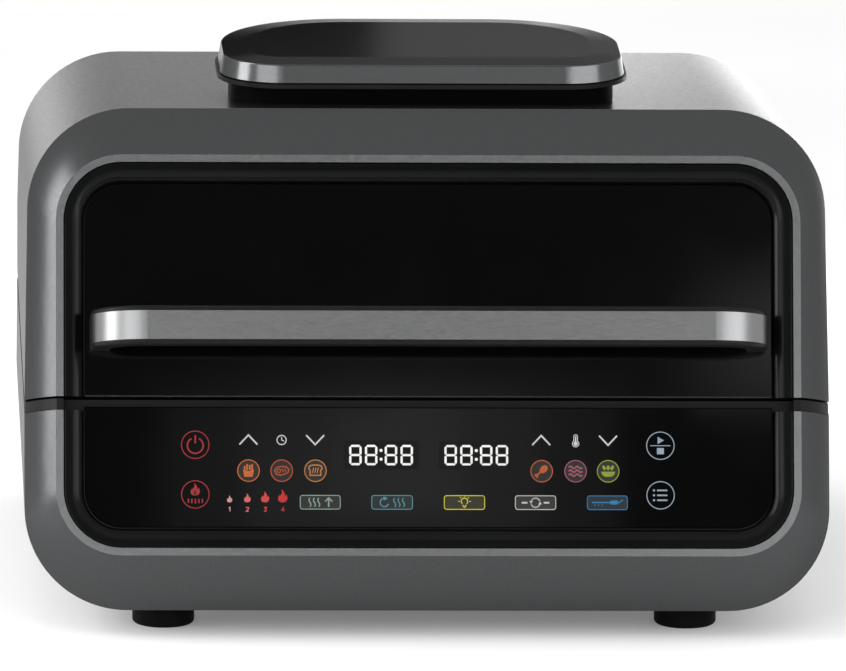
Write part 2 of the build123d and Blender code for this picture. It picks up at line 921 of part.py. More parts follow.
def heater_clips():
    clips = []
    low = well_bottom + well_sheet + seat_gap
    groove = heater_radius + seat_gap
    for x in (-lower_heater_half_x, lower_heater_half_x):
        for y in (-lower_heater_half_y / 2, lower_heater_half_y / 2):
            corner = (x + clip_width / 2, y + clip_length / 2, lower_heater_height)
            clip = block((x - clip_width / 2, y - clip_length / 2, low), corner)
            clips.append(clip - rear_rod(x, lower_heater_height, groove, y - clip_length, y + clip_length))
    return Part() + clips


def thermal_cutout():
    wall_x = pot_width / 2 + well_clear + well_sheet
    disc = side_rod(-wall_x - cutout_depth, -wall_x - seat_gap, 0, cutout_height, cutout_radius)
    cap = side_rod(-wall_x - cutout_depth - wall, -wall_x - cutout_depth, 0, cutout_height, cutout_radius / 2)
    return disc + cap


def pcb_bracket():
    inner = power_bracket_x - power_bracket_foot
    outer = power_bracket_x + bracket_sheet
    reach = power_half_length
    foot = block((inner, -reach, power_bracket_low), (outer, reach, power_bracket_low + bracket_sheet))
    upright = block((power_bracket_x, -reach, power_bracket_low), (outer, reach, power_bracket_top))
    stands = []
    for y, height in power_stand_places():
        stands.append(side_rod(outer, outer + power_board_stand, y, height, post_radius))
    return foot + upright + stands


def power_stand_places():
    """Places of the stands that hold the power board."""
    reach = power_half_length - 2 * post_radius
    heights = (power_board_low + 2 * post_radius, power_bracket_top - 2 * post_radius)
    return [(y, height) for y in (-reach, reach) for height in heights]


def power_board_x():
    """Place of the power board's inner face."""
    return power_bracket_x + bracket_sheet + power_board_stand + seat_gap


def power_pcb():
    low = (power_board_x(), -power_half_length, power_board_low)
    return block(low, (power_board_x() + board_thickness, power_half_length, power_bracket_top))


def power_components():
    parts = []
    x = power_board_x() + board_thickness + seat_gap
    low = power_board_low + 2 * post_radius
    tall = power_bracket_top - low - 2 * post_radius
    for place, height in zip(part_place_shares, part_height_shares):
        y = place * (power_half_length - part_length / 2)
        corner = (x + part_depth * height, y + part_length / 2, low + tall * height)
        parts.append(block((x, y - part_length / 2, low), corner))
    return Part() + parts


def rear_plate(low, high):
    """Plate that closes the wrap at the rear between two heights."""
    sketch = rear_outline(wall + seat_gap)
    slab = Pos(0, -rear_panel_setback, 0) * extrude(sketch, rear_panel_thickness)
    return level_cut(slab, low, high)


def louvres(low, count):
    """Rows of slots in a rear panel."""
    slots = []
    for step in range(count):
        height = low + step * louvre_pitch
        for x in (-louvre_middle_x, louvre_middle_x):
            front = (x - louvre_width / 2, panel_front_y - overrun, height)
            slots.append(block(front, (x + louvre_width / 2, panel_rear_y + overrun, height + louvre_height)))
    return slots


def base_panel_screw_places():
    """Places of the screws of the base's rear panel."""
    x = half_width - corner_radius
    heights = (floor_top + panel_screw_inset, base_wrap_top - panel_screw_inset)
    return [(side * x, height) for side in (-1, 1) for height in heights]


def lid_panel_screw_places():
    """Places of the screws of the lid's rear panel."""
    x = half_width - corner_radius
    heights = (lid_low + panel_screw_inset, rear_top_height - wall - panel_screw_inset)
    return [(side * x, height) for side in (-1, 1) for height in heights]


def leaf_screw_places(low, high):
    """Places of the screws of the hinge leaves between two heights."""
    reach = hinge_half_width() - leaf_screw_inset
    heights = (low + leaf_screw_inset, high - leaf_screw_inset)
    middles = (-hinge_half_spacing, hinge_half_spacing)
    return [(m + side * reach, height) for m in middles for side in (-1, 1) for height in heights]


def hinge_half_width():
    """Half the width of a hinge."""
    return lid_knuckle_length / 2 + knuckle_gap + knuckle_length


def screw_holes(places, radius):
    """Holes through a rear panel and what lies on it."""
    return [rear_rod(x, height, radius, panel_front_y - overrun, rear_y + overrun) for x, height in places]


def base_leaf_limits():
    """Low and high of the wide part of the base's hinge leaves."""
    high = hinge_height - leaf_clear
    return high - leaf_height, high


def lid_leaf_limits():
    """Low and high of the wide part of the lid's hinge leaves."""
    low = hinge_height + leaf_clear
    return low, low + leaf_height


def base_rear_panel():
    panel = rear_plate(0, base_wrap_top)
    face_half = drawer_width / 2 + runner_width
    slot_top = drawer_low() + drawer_height + fit_gap
    panel -= block((-face_half, panel_front_y - overrun, 0), (face_half, rear_y + overrun, slot_top))
    gland_hole = gland_body_radius + seat_gap
    panel -= rear_rod(gland_x, gland_height, gland_hole, panel_front_y - overrun, rear_y + overrun)
    radius = small_screw_radius + seat_gap
    panel -= screw_holes(base_panel_screw_places(), radius)
    panel -= screw_holes(leaf_screw_places(*base_leaf_limits()), radius)
    return panel - louvres(base_louvre_low, base_louvre_count)


def lid_rear_panel():
    panel = rear_plate(lid_low + fit_gap, rear_top_height)
    radius = small_screw_radius + seat_gap
    panel -= screw_holes(lid_panel_screw_places(), radius)
    panel -= screw_holes(leaf_screw_places(*lid_leaf_limits()), radius)
    return panel - louvres(louvre_low, louvre_count)


def rear_screws(places, seat_y):
    """Screws from the rear, with their heads on a seat."""
    screws = []
    for x, height in places:
        head_y = seat_y + seat_gap
        head = rear_rod(x, height, small_head_radius, head_y, head_y + small_head_height)
        screws.append(head + rear_rod(x, height, small_screw_radius, panel_front_y - wall, seat_y + seat_gap))
    return Part() + screws


def base_panel_screws():
    return rear_screws(base_panel_screw_places(), panel_rear_y)


def lid_panel_screws():
    return rear_screws(lid_panel_screw_places(), panel_rear_y)


def base_hinge_screws():
    return rear_screws(leaf_screw_places(*base_leaf_limits()), leaf_rear_y())


def lid_hinge_screws():
    return rear_screws(leaf_screw_places(*lid_leaf_limits()), leaf_rear_y())


def leaf_front_y():
    """Front face of the hinge leaves."""
    return panel_rear_y + seat_gap


def leaf_rear_y():
    """Rear face of the hinge leaves."""
    return leaf_front_y() + leaf_thickness


def hinge_leaf(middle, spans, wide_low, wide_high, bore):
    """One leaf with knuckles over spans of the pin, and a wide part between two heights."""
    front = leaf_front_y()
    rear = leaf_rear_y()
    half = hinge_half_width()
    leaf = block((middle - half, front, wide_low), (middle + half, rear, wide_high))
    for left, right in spans:
        neck_low = min(hinge_height, wide_low)
        neck_high = max(hinge_height, wide_high)
        leaf += block((middle + left, front, neck_low), (middle + right, rear, neck_high))
        leaf += side_rod(middle + left, middle + right, hinge_y, hinge_height, knuckle_radius)
    leaf -= side_rod(middle - half - overrun, middle + half + overrun, hinge_y, hinge_height, bore)
    return leaf


def base_hinge_leaves():
    half = hinge_half_width()
    inner = half - knuckle_length
    spans = [(-half, -inner), (inner, half)]
    low, high = base_leaf_limits()
    leaves = []
    for middle in (-hinge_half_spacing, hinge_half_spacing):
        leaves.append(hinge_leaf(middle, spans, low, high, pin_radius + pin_clearance))
    holes = screw_holes(leaf_screw_places(low, high), small_screw_radius + seat_gap)
    return Part() + leaves - holes


def lid_hinge_leaves():
    half = lid_knuckle_length / 2
    low, high = lid_leaf_limits()
    leaves = []
    for middle in (-hinge_half_spacing, hinge_half_spacing):
        leaves.append(hinge_leaf(middle, [(-half, half)], low, high, pin_radius + pin_clearance))
    holes = screw_holes(leaf_screw_places(low, high), small_screw_radius + seat_gap)
    return Part() + leaves - holes


def hinge_pins():
    half = hinge_half_width()
    pins = []
    for middle in (-hinge_half_spacing, hinge_half_spacing):
        pins.append(side_rod(middle - half, middle + half, hinge_y, hinge_height, pin_radius))
    return Part() + pins


def cord_gland():
    """Round bush that the mains lead enters through."""
    seat = panel_rear_y + seat_gap
    flange_rear = seat + gland_flange_thickness
    gland = rear_rod(gland_x, gland_height, gland_flange_radius, seat, flange_rear)
    nose = flange_rear + gland_nose_length
    gland += rear_rod(gland_x, gland_height, gland_body_radius, panel_front_y - gland_inner_length, nose)
    bore_front = panel_front_y - gland_inner_length - overrun
    return gland - rear_rod(gland_x, gland_height, gland_bore_radius, bore_front, nose + overrun)


def drawer_low():
    """Height of the drawer's bottom."""
    return floor_top + seat_gap + drawer_lift + fit_gap


def grease_drawer():
    """Shallow tray with a face and a pull at the rear."""
    half = drawer_width / 2
    low = drawer_low()
    high = low + drawer_height
    front = panel_rear_y - drawer_depth
    seat = rear_y + fit_gap
    face_rear = seat + drawer_face_thickness
    tray = block((-half, front, low), (half, seat, high))
    inner_low = (drawer_wall - half, front + drawer_wall, low + drawer_wall)
    tray -= block(inner_low, (half - drawer_wall, panel_front_y - drawer_wall, high + overrun))
    face_middle = foot_height + drawer_face_height / 2 + fit_gap
    sketch = RectangleRounded(drawer_face_width, drawer_face_height, drawer_face_radius)
    plate = Pos(0, face_rear, face_middle) * Rot(90, 0, 0) * extrude(sketch, drawer_face_thickness)
    pull_low = (-pull_width / 2, face_rear, face_middle)
    pull = block(pull_low, (pull_width / 2, face_rear + pull_reach, face_middle + pull_thickness))
    return tray + plate + pull


def drawer_runners():
    half = drawer_width / 2 + fit_gap
    front = panel_rear_y - drawer_depth
    rear = panel_front_y - fit_gap
    low = floor_top + seat_gap
    runners = []
    for side in (-1, 1):
        inner, outer = sorted((side * half, side * (half + runner_width)))
        rail = block((inner, front, low), (outer, rear, low + runner_height))
        inner, outer = sorted((side * (half - runner_shelf), side * half))
        runners.append(rail + block((inner, front, low), (outer, rear, low + drawer_lift)))
    return Part() + runners


def lid_base_ring():
    """Plate round the lid's mouth, with a lip under the window."""
    low = lid_low + seat_gap
    ring = level_cut(body_form(wall + fit_gap), low, low + ring_plate)
    ring -= block((-overall_width, panel_front_y - seat_gap, 0), (overall_width, overall_depth, cover_top))
    lip_rise = seam_rise + fit_gap
    lip = face_block(recess_half - seat_gap, lip_rise, lip_rise + ring_plate, -wall, carrier_back - seat_gap)
    ring = ring + lip - liner_slab(0, low - overrun, low + overrun)
    return ring - gasket_ring(seat_gap, deck_top, gasket_top() + seat_gap)


def liner_slab(grow, low, high):
    """Straight slab with the outline of the liner's mouth, grown outwards."""
    width = 2 * (liner_half_width + grow)
    depth = liner_rear_y - liner_front_y + 2 * grow
    middle = (liner_rear_y + liner_front_y) / 2
    return upright_slab(width, depth, liner_radius + grow, low, high, middle)


def liner_form(inset, low, high):
    """Filled form of the liner: upright rear, tapered sides, front parallel to the face."""
    sections = []
    for height in (low, high):
        share = (height - liner_low) / liner_height
        front = liner_front_y + (height - liner_low) * lean_sin / lean_cos + inset / lean_cos
        rear = liner_rear_y - liner_taper * share - inset
        half = liner_half_width - liner_taper * share - inset
        shape = RectangleRounded(2 * half, rear - front, liner_radius - inset)
        sections.append(Pos(0, (front + rear) / 2, height) * shape)
    return loft(sections, ruled=True)


def lid_liner():
    """Sheet dome over the pot, with a flange, a window and holes for shaft, leads, lamp and sensor."""
    dome = liner_form(-liner_sheet, liner_low, ceiling_top)
    dome += liner_slab(liner_flange, liner_low, liner_low + liner_sheet)
    dome -= liner_form(0, liner_low - overrun, liner_ceiling)
    front = (-liner_window_half, face_y, liner_window_low)
    dome -= block(front, (liner_window_half, cover_middle_y, liner_window_high))
    dome -= fan_axis * upright_rod(0, 0, ceiling_hole_radius, liner_ceiling - overrun, ceiling_top + overrun)
    for x, y in upper_lead_places():
        dome -= upright_rod(x, y, heater_radius + fit_gap, liner_ceiling - overrun, ceiling_top + overrun)
    dome -= side_rod(-half_width, 0, lamp_y, lamp_height, lamp_radius + seat_gap)
    return dome - side_rod(0, half_width, sensor_y, lamp_height, sensor_radius + seat_gap)


def liner_face_back():
    """Distance of the liner's front wall behind the leaning face, at its outer side."""
    depth = liner_front_y - face_y
    return (liner_low - foot_height) * lean_sin - depth * lean_cos + liner_sheet


def inner_glass():
    """Second pane, in front of the liner's window."""
    back = liner_face_back() + seat_gap
    low = (liner_window_low - back * lean_sin - foot_height) / lean_cos - inner_glass_lap
    high = (liner_window_high - back * lean_sin - foot_height) / lean_cos + inner_glass_lap
    half = liner_window_half + inner_glass_lap
    return face_slab(half, low, high, inner_glass_lap, back, back + inner_glass_thickness)


def gasket_top():
    """Height of the gasket's seat, half way into the ring plate."""
    return lid_low + ring_plate / 2


def gasket_ring(grow, low, high):
    """Ring round the lid's mouth between two heights, its width grown both ways."""
    outer = liner_slab(2 * gasket_width + grow, low, high)
    return outer - liner_slab(gasket_width - grow, low - overrun, high + overrun)


def lid_gasket():
    """Soft seal in a groove round the lid's mouth, just clear of the deck."""
    return gasket_ring(0, deck_top + fit_gap, gasket_top())


def upper_lead_places():
    """Places where the upper heater's two leads leave the cavity."""
    turn = math.radians(upper_heater_open)
    x = upper_heater_ring * math.sin(turn)
    y = cover_middle_y + upper_heater_ring * math.cos(turn)
    return [(-x, y), (x, y)]


def upper_heater():
    """Open ring with a bead and a lead standing up at each end."""
    start = opening_turn + upper_heater_open
    sweep_angle = 360 - 2 * upper_heater_open
    centre = (0, cover_middle_y, upper_heater_height)
    path = CenterArc(centre, upper_heater_ring, start, sweep_angle)
    section = Plane(origin=path @ 0, z_dir=path % 0) * Circle(heater_radius)
    ring = sweep(section, path)
    for x, y in upper_lead_places():
        ring += Pos(x, y, upper_heater_height) * Sphere(heater_radius + seat_gap)
        ring += upright_rod(x, y, heater_radius, upper_heater_height, ceiling_top + upper_lead_out)
    return ring


def heater_hangers():
    """Three hangers from the ceiling down round the upper heater."""
    hangers = []
    groove = heater_radius + seat_gap
    ring = Pos(0, cover_middle_y, upper_heater_height) * Torus(upper_heater_ring, groove)
    low = upper_heater_height - heater_radius - hanger_lap
    for turn in (0, 180, 270):
        corner = (upper_heater_ring + hanger_length / 2, hanger_width / 2, liner_ceiling - seat_gap)
        bar = block((upper_heater_ring - hanger_length / 2, -hanger_width / 2, low), corner)
        hangers.append(fan_axis * Rot(0, 0, turn) * bar - ring)
    return Part() + hangers


def splatter_shield():
    """Perforated plate under the heater."""
    middle = (liner_front_y + liner_rear_y) / 2
    top = shield_height + shield_sheet
    plate = upright_slab(shield_width, shield_depth, shield_radius, shield_height, top, middle)
    columns = int((shield_width / 2 - shield_margin) / shield_hole_pitch)
    rows = int((shield_depth / 2 - shield_margin) / shield_hole_pitch)
    holes = []
    for column in range(-columns, columns + 1):
        for row in range(-rows, rows + 1):
            place = (column * shield_hole_pitch, middle + row * shield_hole_pitch)
            holes.append(upright_rod(*place, shield_hole_radius, shield_height - wall, top + wall))
    return plate - holes


def shield_clips():
    """Four rods that hang the shield from the ceiling."""
    middle = (liner_front_y + liner_rear_y) / 2
    x = shield_width / 2 - shield_clip_inset
    y = shield_depth / 2 - shield_clip_inset
    clips = []
    low = shield_height + shield_sheet + seat_gap
    for a in (-1, 1):
        for b in (-1, 1):
            clip = upright_rod(a * x, middle + b * y, shield_clip_radius, low, liner_ceiling - seat_gap)
            clips.append(clip)
    return Part() + clips


def fan_motor():
    can = upright_rod(0, 0, motor_radius, motor_low + seat_gap, motor_low + motor_height)
    can = fillet(can.edges().sort_by(Axis.Z)[-1], motor_round)
    bore = upright_rod(0, 0, shaft_radius + shaft_clearance, motor_low - overrun, cover_top)
    return fan_axis * (can - bore)


def motor_bracket():
    """Plate on legs that carries the motor over the liner."""
    plate = upright_rod(0, 0, bracket_radius, motor_low - bracket_thickness, motor_low)
    for turn in (30, 150, 270):
        leg = upright_rod(bracket_leg_circle, 0, bracket_leg_radius, ceiling_top + seat_gap, motor_low)
        plate += Rot(0, 0, turn) * leg
    return fan_axis * (plate - upright_rod(0, 0, ceiling_hole_radius, ceiling_top, motor_low + overrun))


def fan_shaft():
    return fan_axis * upright_rod(0, 0, shaft_radius, shaft_low, shaft_high)


def bladed_wheel(radius, low, blade_height, blades):
    """Disc with a hub and straight blades, bored for the shaft."""
    wheel = upright_rod(0, 0, radius, low + blade_height, low + blade_height + fan_disc)
    wheel += upright_rod(0, 0, fan_hub_radius, low, low + blade_height)
    half = fan_blade_thickness / 2
    for step in range(blades):
        blade = block((fan_hub_radius / 2, -half, low), (radius, half, low + blade_height))
        wheel += Rot(0, 0, 360 * step / blades) * blade
    bore = shaft_radius + shaft_clearance
    return wheel - upright_rod(0, 0, bore, low - overrun, low + blade_height + overrun)


def convection_fan():
    return fan_axis * bladed_wheel(fan_radius, fan_low, fan_blade_height, fan_blades)


def cooling_fan():
    return fan_axis * bladed_wheel(cooler_radius, cooler_low, cooler_blade_height, cooler_blades)


def liner_half_at(height):
    """Inner half width of the liner at a height."""
    share = (height - liner_low) / liner_height
    return liner_half_width - liner_taper * share


def lamp_housing():
    """Cup outside the liner that holds the lamp."""
    wall_x = liner_half_at(lamp_height) + liner_sheet
    cup = side_rod(-wall_x - lamp_depth, -wall_x + liner_sheet, lamp_y, lamp_height, lamp_radius)
    hollow = side_rod(-wall_x - lamp_depth + wall, 0, lamp_y, lamp_height, lamp_radius - wall)
    return cup - hollow


def lamp_lens():
    wall_x = liner_half_at(lamp_height)
    return side_rod(-wall_x + seat_gap, -wall_x + lens_depth, lamp_y, lamp_height, lamp_radius)


def temperature_sensor():
    wall_x = liner_half_at(lamp_height)
    reach = sensor_length / 2
    rod = side_rod(wall_x - reach, wall_x + reach, sensor_y, lamp_height, sensor_radius)
    nut_left = wall_x + liner_sheet + pot_wall
    return rod + side_rod(nut_left, nut_left + 2 * sensor_radius, sensor_y, lamp_height, 2 * sensor_radius)


nodes = [
    base_wrap, base_front_frame, base_deck, panel_trim, control_panel, pcb_carrier, touch_pcb,
    display_modules, base_rear_panel, base_panel_screws, rubber_feet, foot_screws, pot_well,
    cooking_pot, grill_plate, lower_heater, heater_clips, thermal_cutout, pcb_bracket, power_pcb,
    power_components, cord_gland, base_hinge_leaves, hinge_pins, base_hinge_screws, drawer_runners,
    lid_wrap, lid_front_frame, window_trim, window_glass, window_carrier, lid_base_ring, lid_gasket,
    lid_liner, inner_glass, lid_rear_panel, lid_panel_screws, lid_hinge_leaves, lid_hinge_screws,
    handle_body, handle_strip, handle_screws, cover_pedestal, cover_lip, top_cover, cover_screws,
    fan_motor, motor_bracket, upper_heater, heater_hangers, splatter_shield, shield_clips,
    lamp_housing, lamp_lens, temperature_sensor, fan_shaft, convection_fan, cooling_fan, grease_drawer,
]

os.makedirs("parts", exist_ok=True)
for node in nodes:
    export_step(node(), f"parts/{node.__name__}.step")
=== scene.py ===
import json
import math

import bmesh
import bpy
from mathutils import Matrix, Vector
from mathutils.geometry import tessellate_polygon


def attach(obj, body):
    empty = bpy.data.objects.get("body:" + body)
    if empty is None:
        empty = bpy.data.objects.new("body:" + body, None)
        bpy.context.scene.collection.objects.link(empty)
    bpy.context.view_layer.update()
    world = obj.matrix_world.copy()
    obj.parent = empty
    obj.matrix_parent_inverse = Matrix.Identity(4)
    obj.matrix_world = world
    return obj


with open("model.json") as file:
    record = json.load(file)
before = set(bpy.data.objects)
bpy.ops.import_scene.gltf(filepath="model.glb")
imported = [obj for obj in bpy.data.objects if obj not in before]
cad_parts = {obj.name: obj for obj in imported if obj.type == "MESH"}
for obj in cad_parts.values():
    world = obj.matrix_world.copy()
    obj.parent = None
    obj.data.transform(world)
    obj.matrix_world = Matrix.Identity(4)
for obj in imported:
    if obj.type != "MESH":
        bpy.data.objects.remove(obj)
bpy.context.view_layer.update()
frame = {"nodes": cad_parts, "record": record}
nodes = frame["nodes"]
scene = bpy.context.scene
scene.view_settings.view_transform = "Standard"

# The plane of the leaning face, as in the part's source, in metres: its lean, its foot, and how far out
# along its normal the panel's glass lies
FACE_LEAN = math.radians(18)
FACE_FOOT_Y = -0.1977
FACE_FOOT_Z = 0.015
GLASS_OUT = 0.018
FACE = Matrix((
    (1, 0, 0, 0),
    (0, math.sin(FACE_LEAN), -math.cos(FACE_LEAN), FACE_FOOT_Y),
    (0, math.cos(FACE_LEAN), math.sin(FACE_LEAN), FACE_FOOT_Z),
    (0, 0, 0, 1),
))
FACE_OUT = FACE.col[2].to_3d()
UP = (0, 0, 1)
MM_PER_M = 1000


def linear(*rgb):
    """A colour written in 8-bit display values, as linear RGBA."""
    parts = [c / 255 for c in rgb]
    parts = [c / 12.92 if c <= 0.04045 else ((c + 0.055) / 1.055) ** 2.4 for c in parts]
    return (*parts, 1)


def grey(value, tint=0.0):
    """Linear grey, a little cooler with tint."""
    return (value * (1 - tint), value, value * (1 + tint), 1)


# Materials: procedural patterns in the object's own coordinates, in metres

# Ends of the range that a noise pattern mostly keeps to, and a wider pair for softer changes
NOISE_LOW, NOISE_HIGH = 0.3, 0.7
WIDE_LOW, WIDE_HIGH = 0.25, 0.75


class Look:
    """A Principled material and the few nodes that give it its detail."""

    def __init__(self, name, **sockets):
        self.material = bpy.data.materials.new(name)
        self.material.use_nodes = True
        self.tree = self.material.node_tree
        self.shader = self.tree.nodes["Principled BSDF"]
        for socket, value in sockets.items():
            self.shader.inputs[socket.replace("_", " ")].default_value = value
        self.place = self.node("ShaderNodeTexCoord").outputs["Object"]

    def node(self, kind, **values):
        """A new node, with some of its settings."""
        made = self.tree.nodes.new(kind)
        for name, value in values.items():
            setattr(made, name, value)
        return made

    def link(self, output, socket):
        self.tree.links.new(output, socket)

    def stretched(self, scale):
        """The object's coordinates, scaled by axis."""
        mapping = self.node("ShaderNodeMapping")
        mapping.inputs["Scale"].default_value = scale
        self.link(self.place, mapping.inputs["Vector"])
        return mapping.outputs["Vector"]

    def noise(self, scale, detail=3.0, stretch=None):
        """A noise pattern, drawn out along the axes where stretch is small."""
        made = self.node("ShaderNodeTexNoise")
        made.inputs["Scale"].default_value = scale
        made.inputs["Detail"].default_value = detail
        self.link(self.stretched(stretch) if stretch else self.place, made.inputs["Vector"])
        return made.outputs["Fac"]

    def ramp(self, fac, *stops):
        """A colour ramp over a pattern: stops are (place, linear RGBA)."""
        made = self.node("ShaderNodeValToRGB")
        band = made.color_ramp.elements
        for place, colour in stops[2:]:
            band.new(place)
        for element, (place, colour) in zip(band, stops):
            element.position = place
            element.color = colour
        self.link(fac, made.inputs["Fac"])
        return made.outputs["Color"]

    def colours(self, fac, *stops):
        """The base colour, from a ramp over a pattern."""
        self.link(self.ramp(fac, *stops), self.shader.inputs["Base Color"])

    def facing(self, way):
        """How squarely the surface faces a direction of the object's own axes."""
        square = self.node("ShaderNodeVectorMath", operation="DOT_PRODUCT")
        self.link(self.node("ShaderNodeTexCoord").outputs["Normal"], square.inputs[0])
        square.inputs[1].default_value = way
        return square.outputs["Value"]

    def where(self, fac, low, high, one, other):
        """The base colour: one below low, other above high."""
        span = self.node("ShaderNodeMapRange")
        span.inputs["From Min"].default_value = low
        span.inputs["From Max"].default_value = high
        self.link(fac, span.inputs["Value"])
        mix = self.node("ShaderNodeMixRGB")
        self.link(span.outputs["Result"], mix.inputs["Fac"])
        self.link(one, mix.inputs["Color1"])
        self.link(other, mix.inputs["Color2"])
        self.link(mix.outputs["Color"], self.shader.inputs["Base Color"])

    def roughness(self, fac, low, high):
        """Roughness between two values, by a pattern."""
        span = self.node("ShaderNodeMapRange")
        span.inputs["From Min"].default_value = NOISE_LOW
        span.inputs["From Max"].default_value = NOISE_HIGH
        span.inputs["To Min"].default_value = low
        span.inputs["To Max"].default_value = high
        self.link(fac, span.inputs["Value"])
        self.link(span.outputs["Result"], self.shader.inputs["Roughness"])

    def bump(self, fac, strength, distance):
        """A fine relief from a pattern."""
        made = self.node("ShaderNodeBump")
        made.inputs["Strength"].default_value = strength
        made.inputs["Distance"].default_value = distance
        self.link(fac, made.inputs["Height"])
        self.link(made.outputs["Normal"], self.shader.inputs["Normal"])


# Paint: scales of its flakes, clouds and orange peel, the peel's depth, and how cool its grey is
FLAKES = 2600
CLOUDS = 420
PEEL = 700
PEEL_DEPTH = 0.0004
COOL = 0.02

# Depths of the relief of moulded grain and of brushed metal, in metres
GRAIN_DEPTH = 0.0003
BRUSH_DEPTH = 0.0002


def flaked(look, flakes, dark, pale):
    """The colour of paint with metal flakes."""
    return look.ramp(flakes, (NOISE_LOW, grey(dark, COOL)), (NOISE_HIGH, grey(pale, COOL)))


def painted():
    """Dark grey satin paint, metal flakes and a slight orange peel; paler land round the front, a painted
    highlight.
    """
    look = Look("body_paint", Metallic=1.0, Specular_Tint=grey(0.6))
    flakes = look.noise(FLAKES, 2)
    plain = flaked(look, flakes, 0.062, 0.088)
    # Paler where the paint faces square out of the front, on the land: a painted highlight
    land_highlight = flaked(look, flakes, 0.20, 0.25)
    look.where(look.facing(FACE_OUT), low=0.985, high=0.995, one=plain, other=land_highlight)
    look.roughness(look.noise(CLOUDS, 4), 0.28, 0.35)
    look.bump(look.noise(PEEL, 2), 0.03, PEEL_DEPTH)
    return look.material


def cover_with_painted_light():
    """The cover: a paler metal paint round its edge, a painted sheen, and a smoother top painted near black
    where it faces up, a painted shade.
    """
    look = Look("cover_paint_painted_light", Metallic=1.0, Specular_Tint=grey(0.5))
    flakes = look.noise(FLAKES, 2)
    # Paler round the edge: a painted sheen
    edge_sheen = flaked(look, flakes, 0.085, 0.115)
    # Near black where the cover faces up: painted shade on its top
    top = flaked(look, flakes, 0.005, 0.007)
    look.where(look.facing(UP), low=0.80, high=0.97, one=edge_sheen, other=top)
    look.roughness(look.noise(CLOUDS, 4), 0.17, 0.23)
    look.bump(look.noise(PEEL, 2), 0.02, PEEL_DEPTH)
    return look.material


def plastic(name, value, rough, grain=1500, relief=0.12, shine=0.35):
    """Moulded plastic with an eroded grain."""
    look = Look(name, Specular_IOR_Level=shine)
    clouds = look.noise(90, 5)
    pits = look.noise(grain, 3)
    dark, pale = grey(value * 0.85), grey(value * 1.15)
    look.colours(clouds, (WIDE_LOW, dark), (WIDE_HIGH, pale))
    look.roughness(pits, rough - 0.05, rough + 0.07)
    look.bump(pits, relief, GRAIN_DEPTH)
    return look.material


def gloss(name, value, rough, shine=0.5):
    """Polished black plastic or glass with faint smears in its gloss."""
    look = Look(name, Specular_IOR_Level=shine)
    haze = look.noise(14, 4)
    smears = look.noise(30, 6, (1, 0.35, 1))
    dark, pale = grey(value * 0.8, 0.06), grey(value * 1.2, 0.06)
    look.colours(haze, (NOISE_LOW, dark), (NOISE_HIGH, pale))
    look.roughness(smears, rough, rough + 0.035)
    return look.material


def clear_glass(name, colour, rough, clear=1.0):
    """Glass that light passes, tinted, with faint smears."""
    look = Look(name, Transmission_Weight=clear, IOR=1.5)
    haze = look.noise(22, 3)
    smears = look.noise(40, 5)
    dark, pale = (*(c * 0.9 for c in colour), 1), (*colour, 1)
    look.colours(haze, (NOISE_LOW, dark), (NOISE_HIGH, pale))
    look.roughness(smears, rough, rough + 0.03)
    return look.material


def metal(name, value, rough, stretch=(1, 1, 1), scale=900, tint=0.0, relief=0.05):
    """Bare metal, with its grain drawn out along one axis where it is brushed."""
    look = Look(name, Metallic=1.0)
    grain = look.noise(scale, 4, stretch)
    dark, pale = grey(value * 0.86, tint), grey(value * 1.08, tint)
    look.colours(grain, (WIDE_LOW, dark), (WIDE_HIGH, pale))
    look.roughness(grain, rough - 0.04, rough + 0.06)
    look.bump(grain, relief, BRUSH_DEPTH)
    return look.material


def rubber(name, value, rough, shine=0.4):
    """Rubber or silicone: dull, with a fine grain."""
    look = Look(name, Specular_IOR_Level=shine)
    clouds = look.noise(260, 5)
    wear = look.noise(600, 4)
    pits = look.noise(1800, 2)
    dark, pale = grey(value * 0.8), grey(value * 1.3)
    look.colours(clouds, (WIDE_LOW, dark), (WIDE_HIGH, pale))
    look.roughness(wear, rough - 0.06, rough + 0.06)
    look.bump(pits, 0.2, GRAIN_DEPTH)
    return look.material


def nonstick():
    """Black non-stick coat with pale specks."""
    look = Look("nonstick")
    specks = look.noise(1100, 2)
    wear = look.noise(500, 4)
    pits = look.noise(1400, 3)
    look.colours(specks, (0.0, grey(0.013)), (0.66, grey(0.02)), (0.70, grey(0.16)))
    look.roughness(wear, 0.28, 0.40)
    look.bump(pits, 0.1, GRAIN_DEPTH)
    return look.material


def heater_metal():
    """Heater sheath: dark oxide with brown and blue heat tints."""
    look = Look("heater_steel", Metallic=0.9)
    tints = look.noise(36, 5)
    wear = look.noise(700, 3)
    pits = look.noise(1500, 3)
    oxide, brown, blue = (0.05, 0.042, 0.036, 1), (0.11, 0.085, 0.06, 1), (0.07, 0.075, 0.1, 1)
    look.colours(tints, (NOISE_LOW, oxide), (0.5, brown), (NOISE_HIGH, blue))
    look.roughness(wear, 0.38, 0.52)
    look.bump(pits, 0.1, GRAIN_DEPTH)
    return look.material


def circuit_board():
    """Green solder mask with paler tracks and pads."""
    look = Look("board_green", Specular_IOR_Level=0.5)
    tracks = look.node("ShaderNodeTexBrick", offset=0.3, squash=1.7)
    tracks.inputs["Scale"].default_value = 70
    tracks.inputs["Mortar Size"].default_value = 0.06
    tracks.inputs["Color1"].default_value = (0.006, 0.075, 0.022, 1)
    tracks.inputs["Color2"].default_value = (0.008, 0.09, 0.028, 1)
    tracks.inputs["Mortar"].default_value = (0.02, 0.17, 0.06, 1)
    look.link(look.place, tracks.inputs["Vector"])
    look.link(tracks.outputs["Color"], look.shader.inputs["Base Color"])
    look.roughness(look.noise(300, 3), 0.28, 0.4)
    look.bump(tracks.outputs["Fac"], 0.3, BRUSH_DEPTH)
    return look.material


